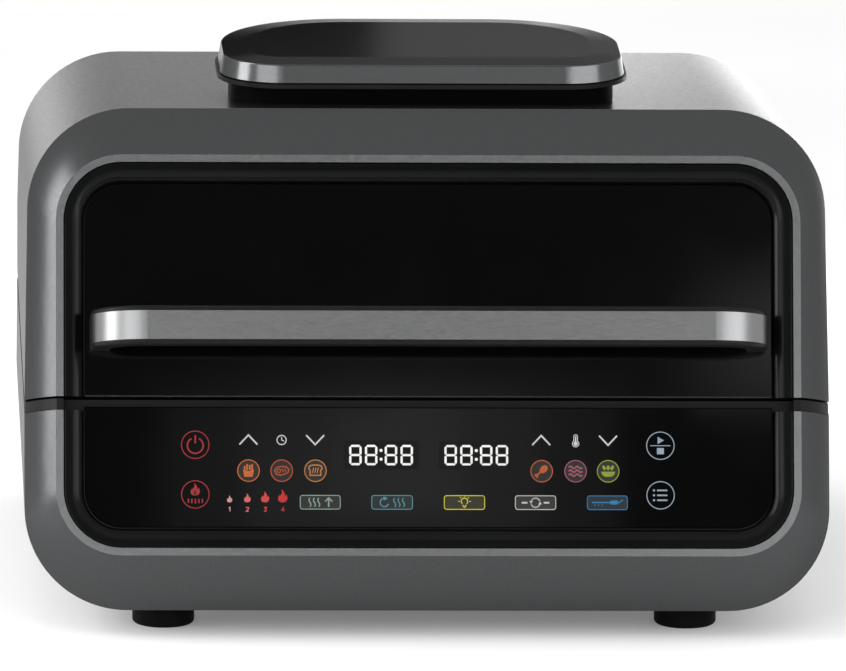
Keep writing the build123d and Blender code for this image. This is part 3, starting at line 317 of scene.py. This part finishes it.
# Scales by axis that draw the grain of brushed metal out
ALONG_X, ALONG_Z = (0.08, 1, 1), (1, 1, 0.1)
looks = {
    "body_paint": painted(),
    "dark_grey_plastic": plastic("dark_grey_plastic", 0.007, 0.38, grain=2000, relief=0.05, shine=0.12),
    "trim_gloss": gloss("trim_gloss", 0.003, 0.19, shine=0.11),
    "panel_glass": gloss("panel_glass", 0.001, 0.05),
    "window_glass": clear_glass("window_glass", (0.022, 0.022, 0.025), 0.08, clear=0.95),
    "inner_glass": clear_glass("inner_glass", (0.86, 0.9, 0.88), 0.02),
    "handle_metal": metal("handle_metal", 0.235, 0.32, (0.05, 1, 1), scale=5200, tint=0.01, relief=0.006),
    "black_plastic": plastic("black_plastic", 0.011, 0.42),
    "foot_rubber": rubber("foot_rubber", 0.0025, 0.66, shine=0.08),
    "seal_silicone": rubber("seal_silicone", 0.045, 0.5),
    "nonstick": nonstick(),
    "steel_sheet": metal("steel_sheet", 0.52, 0.3, ALONG_X, scale=1500),
    "heater_steel": heater_metal(),
    "screw_steel": metal("screw_steel", 0.5, 0.28, scale=2600),
    "fan_aluminium": metal("fan_aluminium", 0.6, 0.34, scale=1300, tint=0.01),
    "cooler_plastic": plastic("cooler_plastic", 0.02, 0.4, grain=2200, relief=0.08),
    "board_green": circuit_board(),
    "display_black": plastic("display_black", 0.014, 0.35, grain=2500, relief=0.06),
    "motor_steel": metal("motor_steel", 0.36, 0.33, ALONG_Z, scale=1200),
    "lamp_glass": clear_glass("lamp_glass", (0.93, 0.91, 0.84), 0.08),
}
for subpart in frame["record"]["subparts"]:
    name, slot = subpart["node"], subpart["material_slot"]
    nodes[name].data.materials.clear()
    nodes[name].data.materials.append(looks[slot])
# The cover's paint: a painted sheen round its edge, painted shade on its top
nodes["top_cover"].data.materials[0] = cover_with_painted_light()
# The pedestal under the cover: black plastic, made darker and duller than the rest as painted shade for the
# shadow under the cover's lip
nodes["cover_pedestal"].data.materials[0] = plastic("pedestal_painted_shade", 0.0015, 0.55, shine=0.02)


# Symbols on the control panel: thin solids on the glass, drawn in millimetres (x, rise up the face)

# Fineness of curves: degrees in a step of an arc, its fewest steps, and steps in a disc, a corner and a wave
ARC_STEP = 7
LEAST_ARC_STEPS = 8
DISC_SIDES = 28
CORNER_STEPS = 5
WAVE_STEPS = 10
SHARPEST_MITRE = 0.35

# Levels of the solids' faces from the glass, in millimetres
SUNK = -0.01
PROUD = 0.08
FIELD_PROUD = 0.03
MASK_PROUD = 0.02
HEART_PROUD = 0.1

# Backlit print: where its noise reaches the full colour, and the share of it that the dim parts have
LIT_HIGH = 0.6
LIT_DIM = 0.82


class Drawing:
    """Flat outlines that become one thin solid on the glass."""

    def __init__(self):
        self.outlines = []

    def fill(self, points):
        """A filled outline."""
        self.outlines.append(list(points))
        return self

    def stroke(self, points, width, closed=False):
        """A band of even width along a line, with mitred corners."""
        count = len(points)
        line = [Vector(p) for p in points]
        left, right = [], []
        for i, here in enumerate(line):
            before = line[i - 1] if i or closed else None
            after = line[(i + 1) % count] if i < count - 1 or closed else None
            ways = [(b - a).normalized() for a, b in ((before, here), (here, after)) if a and b]
            way = (ways[0] + ways[-1]).normalized()
            side = Vector((-way.y, way.x))
            across = max(SHARPEST_MITRE, side.dot(Vector((-ways[0].y, ways[0].x))))
            left.append(here + side * width / 2 / across)
            right.append(here - side * width / 2 / across)
        for i in range(count if closed else count - 1):
            j = (i + 1) % count
            self.outlines.append([left[i], right[i], right[j], left[j]])
        return self

    def arc(self, x, y, radius, width, start=0, sweep=360):
        """A band along a circle or a part of it, in degrees."""
        closed = sweep == 360
        steps = max(LEAST_ARC_STEPS, int(sweep / ARC_STEP))
        angles = [math.radians(start + sweep * i / steps) for i in range(steps if closed else steps + 1)]
        points = [(x + radius * math.cos(a), y + radius * math.sin(a)) for a in angles]
        return self.stroke(points, width, closed)

    def disc(self, x, y, radius):
        """A filled circle."""
        angles = [math.tau * i / DISC_SIDES for i in range(DISC_SIDES)]
        return self.fill([(x + radius * math.cos(a), y + radius * math.sin(a)) for a in angles])

    def box(self, x0, y0, x1, y1, radius, width=None):
        """A rounded rectangle, filled, or only its line."""
        points = []
        for cx, cy, turn in ((x1, y1, 0), (x0, y1, 90), (x0, y0, 180), (x1, y0, 270)):
            cx += -radius if cx == x1 else radius
            cy += -radius if cy == y1 else radius
            for step in range(CORNER_STEPS + 1):
                a = math.radians(turn + 90 * step / CORNER_STEPS)
                points.append((cx + radius * math.cos(a), cy + radius * math.sin(a)))
        return self.stroke(points, width, True) if width else self.fill(points)

    def piece(self, name, material, low=SUNK, high=PROUD):
        """The thin solid, riding on the base."""
        mesh = bpy.data.meshes.new(name)
        shape = bmesh.new()
        for outline in self.outlines:
            add_plate(shape, outline, GLASS_OUT + low / MM_PER_M, GLASS_OUT + high / MM_PER_M)
        shape.transform(FACE)
        shape.to_mesh(mesh)
        shape.free()
        made = bpy.data.objects.new(name, mesh)
        scene.collection.objects.link(made)
        mesh.materials.append(material)
        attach(made, "base")


def add_plate(shape, outline, low, high):
    """Adds a closed plate between two levels, its outline in millimetres, to a bmesh."""
    area = sum(a[0] * b[1] - b[0] * a[1] for a, b in zip(outline, outline[1:] + outline[:1]))
    ring = outline if area > 0 else outline[::-1]
    top = [shape.verts.new((x / MM_PER_M, y / MM_PER_M, high)) for x, y in ring]
    bottom = [shape.verts.new((x / MM_PER_M, y / MM_PER_M, low)) for x, y in ring]
    for tri in tessellate_polygon([[(x, y, 0) for x, y in ring]]):
        (ax, ay), (bx, by), (cx, cy) = (ring[i] for i in tri)
        if (bx - ax) * (cy - ay) - (by - ay) * (cx - ax) < 0:
            tri = tri[::-1]
        shape.faces.new([top[i] for i in tri])
        shape.faces.new([bottom[i] for i in reversed(tri)])
    for i in range(len(ring)):
        j = (i + 1) % len(ring)
        shape.faces.new((bottom[i], bottom[j], top[j], top[i]))


def lit(name, *rgb):
    """Backlit print: glows in its own colour, a little unevenly, as light behind a mask does."""
    look = Look(name, Roughness=0.3, Emission_Strength=1.0, Base_Color=grey(0.004))
    full = linear(*rgb)
    dim = (*(c * LIT_DIM for c in full[:3]), 1)
    uneven = look.ramp(look.noise(180, 2), (NOISE_LOW, dim), (LIT_HIGH, full))
    look.link(uneven, look.shader.inputs["Emission Color"])
    return look.material


def moved(points, x, y, scale=1.0):
    """Points round an origin, scaled and brought to (x, y)."""
    return [(x + px * scale, y + py * scale) for px, py in points]


def wave(x0, x1, y, height, turns):
    """A sine line from x0 to x1."""
    steps = WAVE_STEPS * turns
    angle = math.tau * turns
    return [(x0 + (x1 - x0) * i / steps, y + height * math.sin(angle * i / steps)) for i in range(steps + 1)]


FLAME = [
    (-0.1, -1.0), (0.36, -0.94), (0.68, -0.68), (0.8, -0.28), (0.74, 0.12), (0.56, 0.44), (0.5, 0.12),
    (0.38, 0.0), (0.34, 0.4), (0.22, 0.76), (-0.02, 1.06), (-0.22, 1.2), (-0.12, 0.8), (-0.24, 0.44),
    (-0.5, 0.1), (-0.56, 0.34), (-0.72, 0.06), (-0.84, -0.34), (-0.74, -0.7), (-0.5, -0.92),
]
FLAME_HEART = [
    (-0.08, -0.96), (0.2, -0.84), (0.28, -0.58), (0.12, -0.3), (-0.02, 0.08), (-0.14, -0.22),
    (-0.34, -0.52), (-0.3, -0.84),
]

# Round keys at the panel's two ends, first those at the left
LEFT_KEYS = -127.4
RIGHT_KEYS = 126.5
UPPER_KEYS = 88.9
LOWER_KEYS = 61.7
KEY_RING = 7.5
RING_LINE = 0.5


def ring_key(x, rise):
    """A round key, ready for its sign."""
    return Drawing().arc(x, rise, KEY_RING, RING_LINE)


red = lit("lit_red", 160, 26, 36)
power = ring_key(LEFT_KEYS, UPPER_KEYS).arc(LEFT_KEYS, UPPER_KEYS - 0.4, 4.3, 0.8, 118, 304)
power.stroke(moved([(0, 0.7), (0, 5.3)], LEFT_KEYS, UPPER_KEYS), 0.8)
power.piece("power_symbol", red)

grill = ring_key(LEFT_KEYS, LOWER_KEYS)
for bar in (-3.8, -1.9, 0.0, 1.9, 3.8):
    grill.stroke(moved([(bar, abs(bar) * 0.1 - 5.0), (bar, -2.4)], LEFT_KEYS, LOWER_KEYS), 0.75)
grill.fill(moved(FLAME, LEFT_KEYS, LOWER_KEYS + 2.5, 3.1)).piece("grill_symbol", red)
heart = Drawing().fill(moved(FLAME_HEART, LEFT_KEYS, LOWER_KEYS + 2.4, 2.7))
heart.piece("grill_symbol_heart", lit("lit_dim", 30, 4, 6), PROUD, HEART_PROUD)

# Row of steps, up (1) or down (-1), with a clock and a thermometer between them
STEP_ROW = 91.7
STEPS = ((-98.4, 1), (-62.0, -1), (61.4, 1), (97.9, -1))
STEP_WIDE, STEP_TALL = 4.9, 2.6
CLOCK_X, CLOCK_RISE = -80.3, 91.6
HEAT_X, HEAT_RISE = 80.2, 89.9

white = lit("lit_white", 204, 204, 200)
chevrons = Drawing()
for x, way in STEPS:
    rise = STEP_TALL * way
    chevrons.stroke(moved([(-STEP_WIDE, -rise), (0, rise), (STEP_WIDE, -rise)], x, STEP_ROW), 0.85)
chevrons.piece("step_chevrons", white)

clock = Drawing().arc(CLOCK_X, CLOCK_RISE, 2.5, 0.55)
clock.stroke(moved([(0, 1.7), (0, 0), (1.3, -0.6)], CLOCK_X, CLOCK_RISE), 0.5)
clock.piece("time_symbol", white)

tube = [(-1.0, 1.4), (-1.0, 4.1), (-0.7, 4.7), (0, 4.9), (0.7, 4.7), (1.0, 4.1), (1.0, 1.4)]
thermometer = Drawing().disc(HEAT_X, HEAT_RISE, 1.15)
thermometer.stroke(moved([(0, 0.1), (0, 4.0)], HEAT_X, HEAT_RISE), 0.75)
thermometer.arc(HEAT_X, HEAT_RISE, 1.75, 0.4, 125, 290)
thermometer.stroke(moved(tube, HEAT_X, HEAT_RISE), 0.4)
thermometer.piece("heat_symbol", white)

# Displays: four figures and a colon, over a mask
DIGITS_FOOT = 77.8
DIGIT_WIDE, DIGIT_TALL, SEGMENT = 6.9, 11.3, 1.3
SEGMENT_SHARE = 0.46
SEGMENT_GAP = 0.16
DIGIT_PLACES = (0, 8.6, 19.4, 28.0)
COLON_X, COLON_RISES, COLON_DOT = 17.45, (3.4, 8.2), 0.85
MASK_HALF, MASK_LOW, MASK_HIGH, MASK_ROUND = 20.6, 75.6, 91.4, 1.2


def segment(start, end):
    """One bar of a figure, pointed at both ends."""
    start, end = Vector(start), Vector(end)
    way = (end - start).normalized()
    side = Vector((-way.y, way.x)) * SEGMENT * SEGMENT_SHARE
    inner = way * SEGMENT * SEGMENT_SHARE
    a = start + way * SEGMENT_GAP
    b = end - way * SEGMENT_GAP
    return [a, a + inner - side, b - inner - side, b, b - inner + side, a + inner + side]


def digits(x0):
    """Two figures, a colon and two figures, every segment lit."""
    made = Drawing()
    low = DIGITS_FOOT + SEGMENT / 2
    middle = DIGITS_FOOT + DIGIT_TALL / 2
    high = DIGITS_FOOT + DIGIT_TALL - SEGMENT / 2
    for place in DIGIT_PLACES:
        left = x0 + place + SEGMENT / 2
        right = x0 + place + DIGIT_WIDE - SEGMENT / 2
        for rise in (low, middle, high):
            made.fill(segment((left, rise), (right, rise)))
        for x in (left, right):
            made.fill(segment((x, low), (x, middle)))
            made.fill(segment((x, middle), (x, high)))
    for rise in COLON_RISES:
        made.disc(x0 + COLON_X, DIGITS_FOOT + rise, COLON_DOT)
    return made


display_white = lit("lit_digits", 250, 250, 246)
digits(-43.5).piece("time_digits", display_white)
digits(8.5).piece("heat_digits", display_white)
display_mask = gloss("display_mask", 0.0016, 0.16)
for name, x in (("time_mask", -25.9), ("heat_mask", 26.1)):
    mask = Drawing().box(x - MASK_HALF, MASK_LOW, x + MASK_HALF, MASK_HIGH, MASK_ROUND)
    mask.piece(name, display_mask, -MASK_PROUD, MASK_PROUD)

# Row of foods, each a ring with its picture over a dim field
FOOD_ROW = 74.8
FOOD_RING = 5.9
FOOD_FIELD = 5.7
FOOD_DIM = 0.15


def food(name, x, rgb, draw):
    """A food key: its ring, picture and dim field."""
    made = Drawing().arc(x, FOOD_ROW, FOOD_RING, RING_LINE)
    draw(made, x, FOOD_ROW)
    made.piece(name, lit("lit_" + name, *rgb))
    dim = lit("lit_" + name + "_field", *(c * FOOD_DIM for c in rgb))
    Drawing().disc(x, FOOD_ROW, FOOD_FIELD).piece(name + "_field", dim, SUNK, FIELD_PROUD)


# Pictures of the foods, each round (x, y)

def fries(d, x, y):
    d.fill(moved([(-2.3, -3.4), (2.3, -3.4), (3.0, 0.6), (0, -0.3), (-3.0, 0.6)], x, y))
    for dx, top in ((-2.1, 2.6), (-0.75, 3.6), (0.7, 3.1), (2.0, 3.5)):
        d.box(x + dx - 0.45, y + 0.3, x + dx + 0.45, y + top, 0.2)


def steak(d, x, y):
    rim = [
        (-3.9, -0.2), (-2.9, -2.0), (-0.6, -2.5), (1.6, -1.9), (3.6, -0.9), (3.9, 0.8), (2.4, 2.1),
        (0.0, 2.3), (-2.6, 1.8),
    ]
    d.stroke(moved(rim, x, y), 0.6, True)
    d.arc(x - 1.5, y - 0.1, 0.95, 0.5)
    d.stroke(moved([(0.2, 0.9), (1.2, -0.9)], x, y), 0.5)
    d.stroke(moved([(1.5, 1.0), (2.5, -0.6)], x, y), 0.5)


def bread(d, x, y):
    crust = [
        (-2.9, -2.5), (2.9, -2.5), (2.9, 0.3), (3.7, 1.3), (3.2, 2.6), (1.6, 3.1), (-1.6, 3.1),
        (-3.2, 2.6), (-3.7, 1.3), (-2.9, 0.3),
    ]
    d.stroke(moved(crust, x, y), 0.65, True)
    for dx in (-1.3, 0.0, 1.3):
        d.stroke(moved([(dx - 0.35, -1.3), (dx + 0.35, 1.7)], x, y), 0.5)


def drumstick(d, x, y):
    meat = [
        (-0.6, -0.9), (0.5, -1.3), (2.4, -0.4), (3.4, 1.4), (3.0, 2.9), (1.6, 3.4), (-0.2, 2.5), (-1.2, 0.6),
    ]
    d.fill(moved(meat, x, y)).stroke(moved([(-0.7, -0.4), (-2.6, -2.3)], x, y), 0.9)
    d.disc(x - 3.2, y - 2.2, 0.72).disc(x - 2.5, y - 2.95, 0.72)


def bacon(d, x, y):
    for dy in (-2.1, 0.0, 2.1):
        d.stroke(wave(x - 3.7, x + 3.7, y + dy, 0.62, 2), 0.85)


def greens(d, x, y):
    bowl = [(-3.9, -0.2), (3.9, -0.2), (3.2, -2.0), (1.7, -3.0), (-1.7, -3.0), (-3.2, -2.0)]
    d.fill(moved(bowl, x, y))
    for dx, lean in ((-2.0, -0.5), (0.0, 0.0), (2.0, 0.5)):
        leaf = [(0, 0.4), (0.95, 1.5), (0.75 + lean, 2.7), (lean, 3.3), (-0.75 + lean, 2.7), (-0.95, 1.5)]
        d.fill(moved(leaf, x + dx, y))


food("fries_symbol", -98.4, (198, 98, 36), fries)
food("steak_symbol", -80.3, (180, 76, 32), steak)
food("bread_symbol", -61.9, (188, 118, 58), bread)
food("drumstick_symbol", 61.6, (182, 84, 40), drumstick)
food("bacon_symbol", 80.1, (154, 80, 96), bacon)
food("greens_symbol", 97.9, (134, 152, 38), greens)

# Heat levels: flames that grow, over the figures 1 to 4
FLAME_FOOT = 57.4
FIGURE_MIDDLE = 53.6
FIGURE_HALF = 1.1
LEVELS = (
    (-108.7, 1.75, (206, 146, 142), [(-0.45, 0.55), (0.15, 1.0), (0.15, -1.0)]),
    (-99.0, 2.25, (204, 98, 94), [
        (-0.6, 0.6), (-0.3, 1.0), (0.3, 1.0), (0.6, 0.6), (0.5, 0.15), (-0.6, -1.0), (0.65, -1.0),
    ]),
    (-89.3, 2.75, (200, 60, 56), [
        (-0.6, 1.0), (0.6, 1.0), (-0.05, 0.2), (0.45, 0.05), (0.6, -0.45), (0.3, -0.95), (-0.3, -1.0),
        (-0.65, -0.7),
    ]),
    (-79.7, 3.2, (190, 30, 32), [(0.35, -1.0), (0.35, 1.0), (-0.65, -0.4), (0.75, -0.4)]),
)
for number, (x, size, rgb, figure) in enumerate(LEVELS, 1):
    level = Drawing().fill(moved(FLAME, x, FLAME_FOOT + size, size))
    level.stroke(moved(figure, x, FIGURE_MIDDLE, FIGURE_HALF), 0.5)
    level.piece(f"heat_level_{number}", lit(f"lit_level_{number}", *rgb))

# Framed keys with a dim fill and a pictogram
BUTTON_LOW, BUTTON_MIDDLE, BUTTON_HIGH = 53.8, 57.5, 61.3
BUTTON_ROUND, BUTTON_LINE = 1.3, 0.45
BUTTON_INSET, BUTTON_FIELD_ROUND, BUTTON_DIM = 0.3, 1.1, 0.19


def button(name, x0, x1, rgb, draw):
    """A framed key: its dim field, frame and pictogram."""
    low, high = BUTTON_LOW + BUTTON_INSET, BUTTON_HIGH - BUTTON_INSET
    field = Drawing().box(x0 + BUTTON_INSET, low, x1 - BUTTON_INSET, high, BUTTON_FIELD_ROUND)
    dim = lit("lit_" + name + "_field", *(c * BUTTON_DIM for c in rgb))
    field.piece(name + "_field", dim, SUNK, FIELD_PROUD)
    made = Drawing().box(x0, BUTTON_LOW, x1, BUTTON_HIGH, BUTTON_ROUND, BUTTON_LINE)
    draw(made, (x0 + x1) / 2, BUTTON_MIDDLE)
    made.piece(name, lit("lit_" + name, *rgb))


def heat_waves(d, x, y, places):
    """Rising waves side by side."""
    for dx in places:
        d.stroke([(x + dx + side, y + rise) for rise, side in wave(-2.4, 2.4, 0, 0.55, 1)], 0.6)


# Pictograms of the framed keys, each round (x, y)

def warm_up(d, x, y):
    heat_waves(d, x, y, (-5.6, -3.2, -0.8))
    d.stroke(moved([(4.6, -2.5), (4.6, 2.0)], x, y), 0.8)
    d.stroke(moved([(2.7, 0.5), (4.6, 2.5), (6.5, 0.5)], x, y), 0.8)


def warm_again(d, x, y):
    d.arc(x - 4.2, y, 2.3, 0.65, 70, 270).fill(moved([(-4.6, 3.4), (-2.4, 2.2), (-4.6, 1.1)], x, y))
    heat_waves(d, x, y, (1.4, 3.8, 6.2))


def bulb(d, x, y):
    d.arc(x, y + 0.7, 1.75, 0.55, -50, 280)
    d.stroke(moved([(-0.8, -1.2), (-0.8, -2.0), (0.8, -2.0), (0.8, -1.2)], x, y), 0.5)
    d.stroke(moved([(-0.5, -2.7), (0.5, -2.7)], x, y), 0.45)
    for turn in (0, 45, 90, 135, 180):
        c, s = math.cos(math.radians(turn)), math.sin(math.radians(turn))
        d.stroke(moved([(2.5 * c, 2.45 * s), (3.5 * c, 3.1 * s)], x, y + 0.7), 0.45)


def turn_over(d, x, y):
    d.arc(x, y, 2.5, 0.6, 20, 140).arc(x, y, 2.5, 0.6, 200, 140)
    d.fill(moved([(-3.4, 0.9), (-1.5, 0.9), (-2.5, -0.7)], x, y))
    d.fill(moved([(3.4, -0.9), (1.5, -0.9), (2.5, 0.7)], x, y))
    d.box(x - 7.6, y - 0.5, x - 4.4, y + 0.5, 0.3).box(x + 4.4, y - 0.5, x + 7.6, y + 0.5, 0.3)


def probe(d, x, y):
    d.stroke(moved([(-8.4, 0.2), (1.6, 0.2)], x, y), 0.75).box(x + 1.6, y - 0.9, x + 5.8, y + 1.3, 0.5)
    d.stroke(moved([(5.8, 0.2), (7.0, 0.3), (7.6, 1.2), (8.6, 1.6)], x, y), 0.6)
    for dx in (-6.8, -4.8, -2.8):
        d.stroke(moved([(dx, -1.7), (dx, -0.7)], x, y), 0.45)


button("preheat_key", -70.2, -48.4, (138, 162, 146), warm_up)
button("reheat_key", -31.2, -9.0, (80, 138, 148), warm_again)
button("lamp_key", 8.4, 30.4, (202, 194, 44), bulb)
button("turn_key", 47.2, 69.2, (188, 188, 182), turn_over)
button("probe_key", 86.5, 108.3, (22, 116, 168), probe)

# Round keys at the right end
pale_blue = lit("lit_pale_blue", 142, 162, 176)
start = ring_key(RIGHT_KEYS, UPPER_KEYS)
start.fill(moved([(-1.5, 0.9), (2.0, 2.9), (-1.5, 4.9)], RIGHT_KEYS, UPPER_KEYS))
start.stroke(moved([(-5.5, 0), (5.5, 0)], RIGHT_KEYS, UPPER_KEYS), 0.45)
start.box(RIGHT_KEYS - 1.9, UPPER_KEYS - 4.7, RIGHT_KEYS + 1.9, UPPER_KEYS - 1.3, 0.3)
start.piece("start_stop_symbol", pale_blue)

menu = ring_key(RIGHT_KEYS, LOWER_KEYS)
for rise in (LOWER_KEYS - 2.7, LOWER_KEYS, LOWER_KEYS + 2.7):
    menu.disc(RIGHT_KEYS - 3.6, rise, 0.6)
    menu.stroke([(RIGHT_KEYS - 1.9, rise), (RIGHT_KEYS + 3.7, rise)], 0.85)
menu.piece("menu_symbol", pale_blue)


# Camera: the view of the photograph

PHOTO_WIDTH = 846
SENSOR = 36
FAR_CLIP = 200


def camera_at(azimuth, elevation, distance, scale, aside, up, roll):
    """Camera from the fit to the photograph: angles in degrees, distance in metres, scale in pixels per
    millimetre at the target, which lies aside and up from the origin in millimetres."""
    az, el = math.radians(azimuth), math.radians(elevation)
    ahead = Vector((-math.sin(az) * math.cos(el), math.cos(az) * math.cos(el), -math.sin(el)))
    right = Vector((math.cos(az), math.sin(az), 0))
    rise = right.cross(ahead)
    target = (right * aside + rise * up) / MM_PER_M
    turned = Matrix.Rotation(math.radians(roll), 3, -ahead)
    data = bpy.data.cameras.new("camera")
    data.sensor_width = SENSOR
    data.lens = scale * MM_PER_M * distance * SENSOR / PHOTO_WIDTH
    data.clip_end = FAR_CLIP
    made = bpy.data.objects.new("camera", data)
    axes = Matrix((turned @ right, turned @ rise, -ahead)).transposed().to_4x4()
    made.matrix_world = Matrix.Translation(target - ahead * distance) @ axes
    scene.collection.objects.link(made)
    scene.camera = made


camera_at(azimuth=-2.83, elevation=11.90, distance=10.74, scale=1.7991, aside=5.354, up=124.05, roll=0.717)


# Floor, world and lamps

FLOOR_HALF = 40
FLOOR_LIFT = 0.16


def floor():
    """A pale floor, lifted to white where it is seen, so that it keeps the object's shadow."""
    mesh = bpy.data.meshes.new("floor")
    corners = [(x * FLOOR_HALF, y * FLOOR_HALF, 0) for x, y in ((-1, -1), (1, -1), (1, 1), (-1, 1))]
    mesh.from_pydata(corners, [], [(0, 1, 2, 3)])
    made = bpy.data.objects.new("floor", mesh)
    scene.collection.objects.link(made)
    look = Look("floor", Roughness=0.9, Specular_IOR_Level=0.1, Emission_Color=(1, 1, 1, 1))
    look.colours(look.noise(3, 4), (NOISE_LOW, grey(0.80)), (NOISE_HIGH, grey(0.84)))
    rays = look.node("ShaderNodeLightPath").outputs
    some = look.node("ShaderNodeMath", operation="ADD")
    look.link(rays["Is Camera Ray"], some.inputs[0])
    look.link(rays["Is Glossy Ray"], some.inputs[1])
    seen = look.node("ShaderNodeMath", operation="ADD", use_clamp=True)
    look.link(some.outputs[0], seen.inputs[0])
    look.link(rays["Is Transmission Ray"], seen.inputs[1])
    lift = look.node("ShaderNodeMath", operation="MULTIPLY")
    lift.inputs[1].default_value = FLOOR_LIFT
    look.link(seen.outputs[0], lift.inputs[0])
    look.link(lift.outputs[0], look.shader.inputs["Emission Strength"])
    mesh.materials.append(look.material)


floor()

# The tent's radiance, and its openings: direction, degrees to the start and end of the fade, radiance inside
TENT = 0.92
OPENINGS = (
    ((0.046, -0.91, 0.41), 6, 17, 0.04),
    ((-0.03, 0.97, 0.23), 8, 17, 0.01),
)


def studio():
    """A pale tent round the object, with a dark opening in front and one behind."""
    made = bpy.data.worlds.new("studio")
    scene.world = made
    made.use_nodes = True
    tree = made.node_tree
    way = tree.nodes.new("ShaderNodeTexCoord").outputs["Generated"]
    shades = []
    for centre, near, far, dark in OPENINGS:
        towards = tree.nodes.new("ShaderNodeVectorMath")
        towards.operation = "DOT_PRODUCT"
        tree.links.new(way, towards.inputs[0])
        towards.inputs[1].default_value = Vector(centre).normalized()
        fade = tree.nodes.new("ShaderNodeMapRange")
        fade.interpolation_type = "SMOOTHSTEP"
        fade.inputs["From Min"].default_value = math.cos(math.radians(far))
        fade.inputs["From Max"].default_value = math.cos(math.radians(near))
        fade.inputs["To Min"].default_value = TENT
        fade.inputs["To Max"].default_value = dark
        tree.links.new(towards.outputs["Value"], fade.inputs["Value"])
        shades.append(fade.outputs["Result"])
    darker = tree.nodes.new("ShaderNodeMath")
    darker.operation = "MINIMUM"
    for shade, socket in zip(shades, darker.inputs):
        tree.links.new(shade, socket)
    tree.links.new(darker.outputs[0], tree.nodes["Background"].inputs["Color"])


studio()


def softbox(name, place, target, size, radiance):
    """An even rectangular lamp, facing a point, as bright as a white card lit to radiance."""
    data = bpy.data.lights.new(name, "AREA")
    data.shape = "RECTANGLE"
    data.size, data.size_y = size
    data.energy = radiance * math.pi * size[0] * size[1]
    made = bpy.data.objects.new(name, data)
    made.location = place
    made.rotation_euler = (Vector(target) - Vector(place)).to_track_quat("-Z", "Y").to_euler()
    made.visible_camera = False
    scene.collection.objects.link(made)


# Lamps: name, place, the point that it faces, width and height, radiance
softbox("left_strip", (-1.36, -0.33, 0.75), (-0.2, -0.15, 0.2), (0.62, 1.15), 7.0)
softbox("left_box", (-0.75, -1.30, 0.52), (0, -0.15, 0.2), (1.05, 0.45), 3.1)
softbox("right_box", (0.96, -1.15, 0.50), (0, -0.15, 0.2), (1.5, 0.45), 3.1)
softbox("rear_strip", (-0.55, 2.4, 0.2), (-0.1, 0, 0.25), (1.7, 0.4), 1.45)
softbox("rear_right_strip", (0.5, 0.85, 0.19), (0.2, 0, 0.25), (0.8, 0.24), 3.9)
softbox("cover_card", (0.26, 0.8, 0.46), (0.05, 0, 0.3), (0.5, 0.24), 0.46)
softbox("cover_rim_card", (0.0, 0.8, 0.65), (0, -0.08, 0.3), (1.2, 0.18), 1.1)

# Dim cards that the panel and the window mirror: three sizes, one behind the other, so that the glow fades
# outwards
GLOW_BACK = -1.44
GLOW_STEP = 0.02
for step, card in enumerate((0.08, 0.18, 0.28)):
    back = GLOW_BACK - GLOW_STEP * step
    panel_card = (card, 0.05 + card * 0.25)
    window_card = (0.02 + card * 0.45, 0.03 + card * 0.18)
    softbox("panel_glow", (0.045, back, 0.65), (0, -0.2, 0.1), panel_card, 0.16)
    softbox("window_glow", (0.305, back, 0.742), (0.17, -0.16, 0.2), window_card, 0.26)
